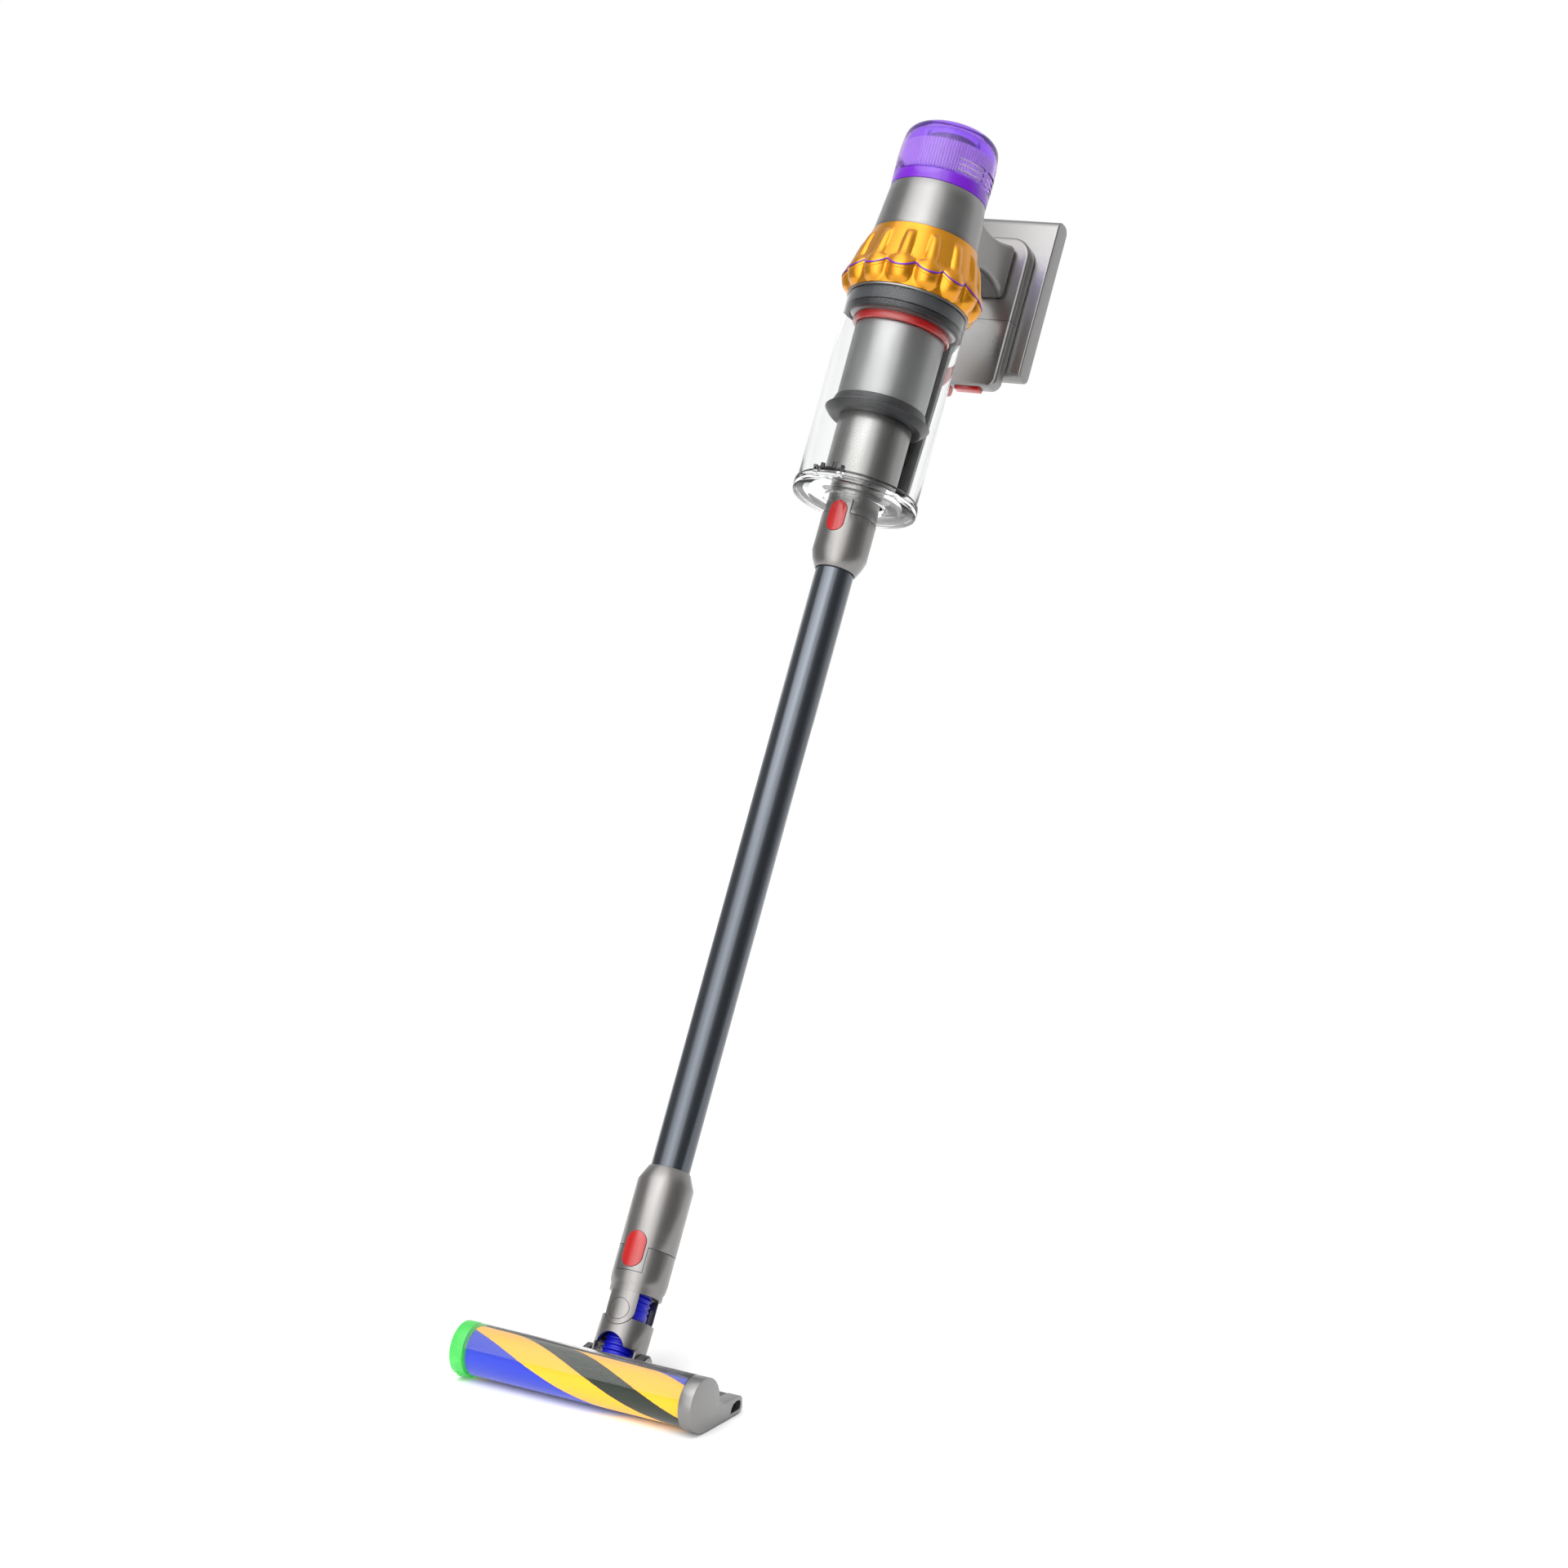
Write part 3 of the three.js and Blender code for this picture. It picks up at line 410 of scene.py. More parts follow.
def striped_nap(name, sizes, tones):
    """Soft nap in slanting stripes of blue, amber and near-black."""
    mat, tree, shader = finish_base(name)
    coord = tree.nodes.new("ShaderNodeTexCoord").outputs["Object"]
    ruffle = noise(tree, coord, 520.0, 3)
    xyz = tree.nodes.new("ShaderNodeSeparateXYZ")
    tree.links.new(coord, xyz.inputs[0])
    y = math_node(tree, "ADD", xyz.outputs["Y"], 0.044)
    z = math_node(tree, "SUBTRACT", xyz.outputs["Z"], 0.0248)
    turn = math_node(tree, "DIVIDE", math_node(tree, "ARCTAN2", z, math_node(tree, "MULTIPLY", y, -1.0)),
                     TAU)
    along = math_node(tree, "DIVIDE", xyz.outputs["X"], sizes.stripe_pitch)
    jitter = math_node(tree, "MULTIPLY", math_node(tree, "SUBTRACT", ruffle, 0.5), 0.012)
    phase = math_node(tree, "FRACT", math_node(tree, "ADD", math_node(tree, "ADD",
                                                                      math_node(tree, "ADD", turn, along),
                                                                      jitter), 3.0 + sizes.stripe_offset))
    ramp = tree.nodes.new("ShaderNodeValToRGB")
    ramp.color_ramp.interpolation = "CONSTANT"
    amber, blue, dark = (*tones.amber, 1), (*tones.blue, 1), (*tones.nap_dark, 1)
    stops = [(0.0, amber), (0.10, dark), (0.25, amber), (0.475, blue), (0.914, amber)]
    e = ramp.color_ramp.elements
    e[0].position, e[0].color = stops[0]
    e[1].position, e[1].color = stops[1]
    for position, colour in stops[2:]:
        e.new(position).color = colour
    tree.links.new(phase, ramp.inputs["Fac"])
    fibre = noise(tree, coord, 1500.0, 4, 0.7)
    shade = tree.nodes.new("ShaderNodeVectorMath")
    shade.operation = "SCALE"
    tree.links.new(ramp.outputs["Color"], shade.inputs[0])
    tree.links.new(math_node(tree, "MULTIPLY_ADD", fibre, 0.5), shade.inputs["Scale"])
    shade.inputs["Scale"].links[0].from_node.inputs[2].default_value = 0.75
    tree.links.new(shade.outputs[0], shader.inputs["Base Color"])
    shader.inputs["Roughness"].default_value = 0.85
    shader.inputs["Sheen Weight"].default_value = 0.4
    raise_bump(tree, shader, fibre, 0.6, 0.0006)
    return mat


def make_finishes(sizes, tones):
    f = {
        "nickel": grained("Warm nickel paint", tones.nickel, 0.3, metallic=0.85, coat=0.15,
                          variation=0.05, bump=0.05),
        "silver": grained("Satin silver paint", tones.silver, 0.3, metallic=0.85, coat=0.15,
                          variation=0.05, bump=0.05),
        "wand": brushed("Anodised wand", tones.wand, 0.19, 0.9, True, 0.03, coat=0.3),
        "cylinder": brushed("Brushed inner cylinder", (0.26, 0.257, 0.25), 0.3, 0.95, True, 0.06),
        "gold": grained("Satin gold paint", tones.gold, 0.3, metallic=0.8, coat=0.3, variation=0.08,
                        bump=0.05),
        "red": grained("Gloss red plastic", tones.red, 0.28, coat=0.6, coat_roughness=0.04,
                       variation=0.06, bump=0.03),
        "violet": grained("Violet plastic", tones.violet, 0.25, coat=0.4, variation=0.08, bump=0.03),
        "cover": shade_banded(grained("Clear violet plastic", tones.cover, 0.06, variation=0.05, bump=0.01,
                                transmission=0.93, ior=1.25), tones.cover),
        "clear": grained("Clear bin plastic", (0.985, 0.99, 0.99), 0.03, variation=0.02, bump=0.004,
                         transmission=1.0, ior=1.17),
        "hood": grained("Hazy hood plastic", (0.95, 0.955, 0.955), 0.05, variation=0.02, bump=0.004,
                        transmission=0.97, ior=1.15),
        "lamp": grained("Frosted green plastic with painted glow", (0.1, 0.62, 0.14), 0.3, variation=0.08, bump=0.01,
                        transmission=0.5, ior=1.4),
        "black": grained("Matt black plastic", (0.016, 0.016, 0.018), 0.42, variation=0.15, bump=0.12),
        "gloss_black": grained("Gloss black plastic", (0.012, 0.012, 0.014), 0.16, coat=0.5,
                               variation=0.1, bump=0.02),
        "graphite": grained("Dark grey plastic", (0.055, 0.057, 0.062), 0.4, metallic=0.1, variation=0.12,
                            bump=0.12),
        "hose": grained("Blue hose rubber", tones.hose, 0.4, variation=0.12, bump=0.08),
        "steel": brushed("Plain steel", (0.55, 0.55, 0.55), 0.35, 1.0, False, 0.06),
        "mesh": perforated("Perforated steel"),
        "paper": grained("Pleated filter paper", (0.86, 0.84, 0.9), 0.85, variation=0.06, fine=3200.0,
                         bump=0.3),
        "nap": striped_nap("Striped nap", sizes, tones),
        "screen": grained("Display glass", (0.01, 0.012, 0.02), 0.08, coat=1.0, variation=0.1, bump=0.0),
    }
    # painted glow: a faint green emission lights the left end cap as well as the floor lamp, though the
    # cap is no lamp
    glow = f["lamp"].node_tree.nodes["Principled BSDF"]
    glow.inputs["Emission Color"].default_value = (0.05, 0.9, 0.1, 1)
    glow.inputs["Emission Strength"].default_value = 0.12
    return f


FINISH = {}


# ======================= settings =======================
class VacuumSizes(bpy.types.PropertyGroup):
    """Sizes that can be changed without touching the frame"""
    stripe_pitch: bpy.props.FloatProperty(
        name="Stripe pitch", description="Length of roller in which a stripe goes once round",
        default=0.36,
        min=0.1, unit="LENGTH")
    stripe_offset: bpy.props.FloatProperty(name="Stripe offset",
                                           description="Turn of the stripes, in turns", default=0.0,
                                           subtype="FACTOR")
    edge: bpy.props.FloatProperty(name="Edge radius",
                                  description="Radius on moulded edges, in millimetres", default=0.5,
                                  min=0.1, max=2.0)
    floor_span: bpy.props.FloatProperty(name="Floor span", description="Width of the floor", default=5.0,
                                        unit="LENGTH")


class VacuumTones(bpy.types.PropertyGroup):
    """Colours of the finishes"""
    nickel: bpy.props.FloatVectorProperty(name="Nickel", description="Neck, collars and handle",
                                          subtype="COLOR", default=(0.215, 0.208, 0.203))
    silver: bpy.props.FloatVectorProperty(name="Silver", description="Motor housing and battery",
                                          subtype="COLOR", default=(0.225, 0.222, 0.22))
    wand: bpy.props.FloatVectorProperty(name="Wand", description="Anodised tube", subtype="COLOR",
                                        default=(0.085, 0.095, 0.11))
    gold: bpy.props.FloatVectorProperty(name="Gold", description="Cyclone mouldings", subtype="COLOR",
                                        default=(0.62, 0.25, 0.006))
    red: bpy.props.FloatVectorProperty(name="Red", description="Buttons, trigger and lever",
                                       subtype="COLOR", default=(0.36, 0.002, 0.002))
    violet: bpy.props.FloatVectorProperty(name="Violet", description="Filter base and cyclone seal",
                                          subtype="COLOR", default=(0.13, 0.008, 0.42))
    cover: bpy.props.FloatVectorProperty(name="Filter cover", description="Clear violet cover",
                                         subtype="COLOR", default=(0.70, 0.50, 0.97))
    hose: bpy.props.FloatVectorProperty(name="Hose", description="Pleated neck hose", subtype="COLOR",
                                        default=(0.004, 0.006, 0.5))
    amber: bpy.props.FloatVectorProperty(name="Amber nap", description="Wide roller stripes",
                                         subtype="COLOR", default=(0.95, 0.46, 0.012))
    blue: bpy.props.FloatVectorProperty(name="Blue nap", description="Blue roller stripes",
                                        subtype="COLOR", default=(0.012, 0.035, 0.5))
    nap_dark: bpy.props.FloatVectorProperty(name="Dark nap", description="Near-black roller stripes",
                                            subtype="COLOR", default=(0.012, 0.02, 0.012))


# ======================= pieces =======================
class VACUUM_OT_head(bpy.types.Operator):
    """Cleaning head: end caps, clear hood, striped roller, wheels and sole"""
    bl_idname = "vacuum.head"
    bl_label = "Cleaning Head"

    def execute(self, context):
        edge = context.scene.vacuum_sizes.edge
        cap = ([(0, 1.1), (59, 1.4), (62.8, 2.6), (64.3, 5), (64.5, 7), (64.5, 11), (63.8, 14.2),
                (61.6, 16.3), (58, 17),
                (36, 17.6), (31, 18.2), (27, 19.6), (24.4, 21.97)] + arc(0, CAP_HEIGHT, CAP_RADIUS, -8,
                                                                         268, 72))
        opening = [(44, 4.5), (57, 4.5), (60, 5.3), (61.3, 9), (60.4, 12.4), (55, 13.8), (49, 12.4),
                   (45.6, 9)]
        right = cut(soften(slab(cap, CAP_INSIDE, HALF_WIDTH, "X"), 1.3, 3, 40),
                    slab(opening, 100, 140, "X"))
        place("cap_right", right, HEAD, "head", FINISH["silver"], "end_cap_right")
        left = soften(slab(cap, -HALF_WIDTH, -CAP_INSIDE, "X"), 1.3, 3, 40)
        # painted glow: the left end cap takes the glowing lamp finish
        place("cap_left", left, HEAD, "head", FINISH["lamp"], "end_cap_left")
        dress("floor_lamp", FINISH["lamp"])
        hood = slab(arc(0, CAP_HEIGHT, CAP_RADIUS, 53, 158, 64) + arc(0, CAP_HEIGHT, 23.2, 158, 53, 64),
                    -HOOD_HALF, HOOD_HALF, "X")
        place("hood", soften(hood, 0.3, 2, 50), HEAD, "head", FINISH["hood"], "roller_hood")
        sleeve = spun([(16.9, -110.6), (20.6, -110.6), (21.4, -110.2), (21.6, -109), (21.6, 109),
                       (21.4, 110.2), (20.6, 110.6), (16.9, 110.6)], 128, "X")
        place("nap_sleeve", moved(sleeve, z=ROLLER_HEIGHT), HEAD, "roller", FINISH["nap"],
              "roller_sleeve")
        for side, name in ((1, "right"), (-1, "left")):
            wheel = soften(spun([(0, -6.4), (1.5, -6.4), (1.5, -3.6), (7, -3.6), (7, 3.6), (1.5, 3.6),
                                 (1.5, 6.4), (0, 6.4)], 48, "X"), 0.5)
            place("wheel_tyre_" + name, moved(wheel, 48 * side, 54, 7.1), HEAD, "wheel_" + name,
                  FINISH["black"], "wheel_" + name)
        for node, finish in (("head_housing", "graphite"), ("sole_plate", "black"),
                             ("roller_core", "graphite"), ("roller_motor", "steel"),
                             ("neck_pin_right", "silver"), ("neck_pin_left", "silver")):
            dress(node, FINISH[finish])
        return {"FINISHED"}


def bellows(low, high, inner, outer, bore, ribs):
    points = [(bore, low)]
    pitch = (high - low) / ribs
    for i in range(ribs):
        base = low + i * pitch
        points += [(inner, base + pitch * 0.05), (inner + 0.3, base + pitch * 0.2),
                   (outer - 0.2, base + pitch * 0.36),
                   (outer, base + pitch * 0.5), (outer - 0.2, base + pitch * 0.64),
                   (inner + 0.3, base + pitch * 0.8)]
    return points + [(inner, high), (bore, high)]


class VACUUM_OT_neck(bpy.types.Operator):
    """Swivelling neck: elbow, fork, swivel pins and the blue pleated hose"""
    bl_idname = "vacuum.neck"
    bl_label = "Neck"

    def execute(self, context):
        shell = soften(spun([(20.6, 8), (NECK_RADIUS, 8), (NECK_RADIUS, 34), (20.6, 34)], 128), 0.5)
        tabs = [block(-10, 10, *y, 19.5, 50) for y in ((-18.1, -15.9), (15.9, 18.1))]
        bridges = [common(spun([(0, 19.4), (22, 19.4), (22, 24.6), (0, 24.6)], 96),
                          block(-9.9, 9.9, *y, 19, 26))
                   for y in ((-23.5, -17.6), (17.6, 23.5))]
        lug = arc(0, 0, 9.5, 180, 360, 32) + [(9.5, 22), (-9.5, 22)]
        elbow = cut(shell, slab(tongue(14.8, SWIVEL, 60), -40, 40, "Y"),
                    moved(spun([(0, -40), (14.5, -40), (14.5, 0), (0, 0)], 96, "Y"), z=4))
        lugs = [common(slab(lug, *x, "X"), spun([(0, -12), (24.2, -12), (24.2, 24), (0, 24)], 128))
                for x in ((20.7, 24.2), (-24.2, -20.7))]
        for part in (*bridges, *tabs, *lugs):
            elbow = joined(elbow, part)
        elbow = cut(elbow, spun([(0, -30), (5, -30), (5, 30), (0, 30)], 48, "X"),
                    moved(spun([(0, -30), (5.9, -30), (5.9, 30), (0, 30)], 48, "Y"), z=SWIVEL))
        place("elbow", elbow, NECK, "elbow", FINISH["nickel"], "neck_elbow")
        place("hose_bellows_lower", spun(bellows(-12.5, 28, 13.9, 15.6, 12.4, 8), 72), NECK, "elbow",
              FINISH["hose"], "hose_lower")
        upper = [(12, 30.2), (13.6, 31.6), (15, 35.5), (15.5, 40),
                 (14.6, 42)] + bellows(42.4, 62, 14.2, 15.6, 12, 4)[1:]
        place("hose_bellows_upper", spun(upper, 72), STICK, "fork", FINISH["hose"], "hose_upper")
        collar = soften(spun([(18.6, 57), (24.2, 57), (24.2, 62.5), (25.3, 65), (COLLAR_RADIUS, 72),
                              (COLLAR_RADIUS, 97.6), (18.6, 97.6)], 128), 0.35)
        tongues = common(cut(spun([(0, 20), (NECK_RADIUS, 20), (NECK_RADIUS, 58), (0, 58)], 128),
                             block(-40, 40, -18.4, 18.4, 0, 60)),
                         slab(tongue(14.2, SWIVEL, 60), -40, 40, "Y"))
        fork = cut(joined(collar, tongues), moved(spun([(0, -40), (10, -40), (10, 40), (0, 40)], 72, "Y"),
                                                  z=SWIVEL), block(-12.9, 12.9, -40, -8, 74.5, 120))
        place("fork", fork, STICK, "fork", FINISH["nickel"], "neck_fork")
        for side, name in ((-1, "front"), (1, "rear")):
            head = spun([(0, 16.2), (5.5, 16.2), (5.5, 21.2), (9.6, 21.2), (9.6, 25), (0, 25)], 72, "Y")
            if side < 0:
                bmesh.ops.rotate(head, verts=head.verts, matrix=Matrix.Rotation(math.pi, 3, "Z"))
            pin = common(moved(head, z=SWIVEL), spun([(0, 20), (24.1, 20), (24.1, 60), (0, 60)], 128))
            place("swivel_head_" + name, pin, STICK, "fork", FINISH["nickel"], "swivel_pin_" + name)
        return {"FINISHED"}


def latch_collar(profile, half, low, high, button_half, button_low, button_high):
    collar = soften(spun(profile, 128), 0.4)
    key = common(spun([(18.9, low), (COLLAR_RADIUS, low), (COLLAR_RADIUS, high), (18.9, high)], 128),
                 block(-half, half, -40, -8, low - 1, high + 1))
    return cut(joined(collar, key), slab(stadium(button_half + 0.35, button_low - 0.35,
                                                 button_high + 0.35), -40, -20.2, "Y"))


def latch_button(half, low, high):
    pad = slab(stadium(half, low, high), -30, -22.4, "Y")
    return soften(common(pad, spun([(0, low - 5), (26.7, low - 5), (26.7, high + 5), (0, high + 5)],
                                   128)), 0.5, 3, 50)


class VACUUM_OT_wand(bpy.types.Operator):
    """Wand tube with a latch collar and a red button at each end"""
    bl_idname = "vacuum.wand"
    bl_label = "Wand"

    def execute(self, context):
        tube = soften(spun([(WAND_BORE, WAND_LOW), (WAND_RADIUS, WAND_LOW), (WAND_RADIUS, WAND_HIGH),
                            (WAND_BORE, WAND_HIGH)], 128), 0.3)
        place("wand", tube, STICK, "wand", FINISH["wand"], "wand_tube")
        lower = latch_collar([(18.4, 98), (COLLAR_RADIUS, 98), (COLLAR_RADIUS, 160), (19.6, 174),
                              (18.4, 174)], 12.5, 75, 99, 10, 78, 111)
        place("collar_lower", lower, STICK, "wand", FINISH["nickel"], "wand_collar_lower")
        place("button_lower", latch_button(10, 78, 111), STICK, "wand_button_lower", FINISH["red"],
              "wand_button_lower")
        upper = latch_collar([(18.4, 756), (19.6, 756), (23.5, 764), (COLLAR_RADIUS, 772),
                              (COLLAR_RADIUS, 807.6), (18.4, 807.6)], 11.3, 806, 821, 8.6, 788, 818)
        place("collar_upper", upper, STICK, "wand", FINISH["nickel"], "wand_collar_upper")
        place("button_upper", latch_button(8.6, 788, 818), STICK, "wand_button_upper", FINISH["red"],
              "wand_button_upper")
        socket = cut(soften(spun([(18.6, 808), (25.9, 808), (25.1, 812), (24.6, 826), (24.6, 838),
                                  (18.6, 838)], 128), 0.3),
                     block(-11.7, 11.7, -40, -8, 800, 821.5))
        place("socket", socket, STICK, "machine", FINISH["silver"], "inlet_socket")
        return {"FINISHED"}


def hinge_rod(radius, x0, x1):
    """Round rod on the axis of the flap's hinge."""
    return moved(spun([(0, x0), (radius, x0), (radius, x1), (0, x1)], 32, "X"), y=FLAP_HINGE_Y,
                 z=FLAP_HINGE_L)


class VACUUM_OT_bin(bpy.types.Operator):
    """Clear bin with its hinged flap, and the shroud, skirt and rings inside it"""
    bl_idname = "vacuum.bin"
    bl_label = "Bin and Shroud"

    def execute(self, context):
        inner = [
            ("cylinder_wall", [(20, 838.4), (33, 838.4), (35, 840.4), (35, 904.6), (33, 904.6),
                               (33, 841.5), (20, 841.5)], "cylinder", "inner_cylinder", "silver"),
            ("skirt", [(33.2, 905), (43, 905), (46, 906.6), (50, 911), (49.4, 912), (45.4, 914),
                       (43.4, 921.6), (33.2, 921.6)], "black", "shroud_skirt", "black"),
            ("mesh_wall", [(40.8, 922), (42, 922), (42, 995), (40.8, 995)], "mesh", "shroud_mesh",
             "steel"),
            ("red_band", [(40.9, 995.4), (44.8, 995.4), (45.6, 996.6), (45.6, 1003), (40.9, 1003)], "red",
             "shroud_ring", "red"),
            ("cone_band", [(41, 1003.4), (46.4, 1003.4), (49.6, 1005), (49.6, 1011.6), (41, 1011.6)],
             "silver", "shroud_cone", "silver"),
            ("rubber_seal", [(50, 1004.6), (54.2, 1004.6), (55.1, 1006), (55.1, 1010.4), (54.2, 1011.6),
                             (50, 1011.6)], "black", "bin_seal", "black"),
            ("head_band", [(41, 1012), (55.1, 1012), (55.1, 1024.4), (41, 1024.4)], "graphite",
             "bin_head_ring", "silver"),
            ("head_lip", [(41, 1024.5), (58.6, 1024.5), (58.6, 1026.4), (41, 1026.4)], "silver", (),
             None),
        ]
        for name, profile, finish, node, slot in inner:
            place(name, soften(spun(profile, 128), 0.3), STICK, "machine", FINISH[finish], node)
        wall = soften(spun([(BIN_BORE, BIN_LOW), (59.5, BIN_LOW), (59.5, 833.6), (BIN_RADIUS, 835.5),
                            (BIN_RADIUS, BIN_TOP), (BIN_BORE, BIN_TOP)], 160), 0.3)
        lugs = [part for x0, x1 in ((10.3, 14.5), (-14.5, -10.3))
                for part in (hinge_rod(2.7, x0, x1), block(x0 + 0.05, x1 - 0.05, -65.3, -57.2, 830.6,
                                                           834), block(x0, x1, -65.3, -60.2, 828.4,
                                                                       833.2))]
        place("bin_wall", cut(joined(wall, *lugs), hinge_rod(1.6, -30, 30)), STICK, "bin",
              FINISH["clear"], "dust_bin")
        disc = soften(spun([(28.6, 824.8), (31, 824.8), (33, 826), (42, 826), (44, 825.1), (46, 826),
                            (59.2, 826), (59.2, 829.6), (28.6, 829.6)], 160), 0.25)
        flap = cut(joined(disc, hinge_rod(2.7, -9.9, 9.9), block(-9.8, 9.8, FLAP_HINGE_Y, -54.6, 827,
                                                                 829.4)),
                   hinge_rod(1.6, -30, 30))
        place("flap_disc", flap, STICK, "flap", FINISH["clear"], "bin_flap")
        place("flap_rubber", soften(spun([(49.6, 830), (54.6, 830), (55.1, 831), (54.6, 832.6),
                                          (49.6, 832.6)], 128), 0.3), STICK, "flap",
              FINISH["black"], "flap_seal")
        foot_seal = soften(spun([(57.8, 833.8), (59.3, 833.8), (59.3, 835.2), (57.8, 836.4)], 160), 0.2)
        place("foot_seal", foot_seal, STICK, "bin", FINISH["gloss_black"])
        catch = [block(x, x + 3.2, -63.4, -60.4, 834.4, 842 - abs(x) * 0.3) for x in (-16, -9, 3, 12)]
        place("hinge_catches", soften(joined(catch[0], *catch[1:], block(-16, 15, -62, -60.6, 834.4,
                                                                         836.4)), 0.3), STICK, "bin",
                                                                         FINISH["gloss_black"])
        dress("flap_hinge_pin", FINISH["steel"])
        dress("bin_spine", FINISH["gloss_black"])
        lever = soften(slab([(66.7, 968), (74, 969), (103, 983), (104.5, 987), (104.5, 991), (101, 993),
                             (66.7, 990)], -13.5, 13.5, "X"), 1.4, 3)
        place("lever", lever, STICK, "bin_lever", FINISH["red"], "bin_lever")
        return {"FINISHED"}


CYCLONES = 14
SEAM, DROOP = 1049.0, 7.0


def cyclone_body(rows, steps=24):
    """Rows of (height, valley radius, half width, rise, droop): a ring whose outside swells into a
    round bowl or rib for each cyclone and drops towards the middle of the bowl."""
    bm = spun([(row[1], row[0]) for row in rows], CYCLONES * steps)
    swells = [row for row in rows if len(row) > 2]
    for v in bm.verts:
        r = math.hypot(v.co.x, v.co.y)
        swell = next((row[2:] for row in swells
                      if abs(v.co.z - row[0]) < 0.02 and abs(r - row[1]) < 0.02), None)
        if swell is None:
            continue
        half, rise, droop = swell
        bowl = (half * half + rise * rise) / (2 * rise)
        centre = r + rise - bowl
        angle = math.atan2(v.co.x, -v.co.y) * CYCLONES / TAU
        off = (angle - math.floor(angle) - 0.5) * TAU / CYCLONES
        inside = bowl * bowl - (centre * math.sin(off)) ** 2
        out = max(r, centre * math.cos(off) + math.sqrt(inside)) if inside > 0 else r
        v.co.z -= droop * (out - r) / rise
        v.co.x *= out / r
        v.co.y *= out / r
    return bm


def seam(lift, valley=61.5, half=12.3, rise=6.5):
    return SEAM + lift, valley, half, rise, DROOP


def shelf(lift, radius):
    """Plain edge further in on the cone where the two mouldings meet."""
    return SEAM + lift + DROOP * 3 / 6.5, radius


class VACUUM_OT_cyclones(bpy.types.Operator):
    """Gold cyclone mouldings, with their bowls and ribs, and the violet seal between them"""
    bl_idname = "vacuum.cyclones"
    bl_label = "Cyclones"

    def execute(self, context):
        lower = [(1026.8, 42), (1026.8, 58.5, 4, 0.1, 0), (1027.4, 58.9, 5, 0.6, 0),
                 (1028.2, 59.2, 6.6, 1.6, 0), (1029.4, 59.5, 8, 2.9, 0),
                 (1031, 59.9, 9.4, 4.2, 0), (1033, 60.2, 10.6, 5.2, 0), (1035.4, 60.6, 11.4, 5.9, 0),
                 (1038, 61, 11.9, 6.2, 0.6), seam(-3.4, 61.1, 12, 6.1),
                 seam(-3.1, 61.4), seam(-0.9), shelf(-0.9, 58.5), shelf(-0.9, 42)]
        place("cyclone_bowls", cyclone_body(lower), STICK, "machine", FINISH["gold"], "cyclone_lower",
              38)
        gasket = [shelf(-0.5, 58.5), seam(-0.5, 61.9), seam(0.7, 61.9), shelf(0.7, 58.5)]
        place("cyclone_gasket", cyclone_body(gasket), STICK, "machine", FINISH["violet"], "cyclone_seal",
              38)
        upper = [shelf(1.1, 46), shelf(1.1, 58.5), seam(1.1), seam(2.4, 61.4), (1052.2, 61.1, 12, 5.8, 5),
                 (1053.2, 60.9, 10.5, 5.2, 2.4), (1054, 60.6, 8.5, 4.6, 0.8)]
        for height, rise in ((1055, 4.0), (1058, 3.6), (1062, 3.5), (1067, 3.4), (1072, 3.3), (1076, 3.1),
                             (1079, 2.7), (1081.4, 2.0), (1083, 1.1), (1084, 0.2)):
            half = 6.6 - (height - 1055) * 0.065
            upper.append((height, 60.3 - (height - 1055) * 0.235, half if rise > 1 else half * 0.7, rise,
                          0))
        upper += [(1085, 53.2), (1092, 51.6), (1092, 46)]
        place("cyclone_ribs", cyclone_body(upper), STICK, "machine", FINISH["gold"], "cyclone_upper",
              38)
        dress("core_duct", FINISH["graphite"])
        return {"FINISHED"}


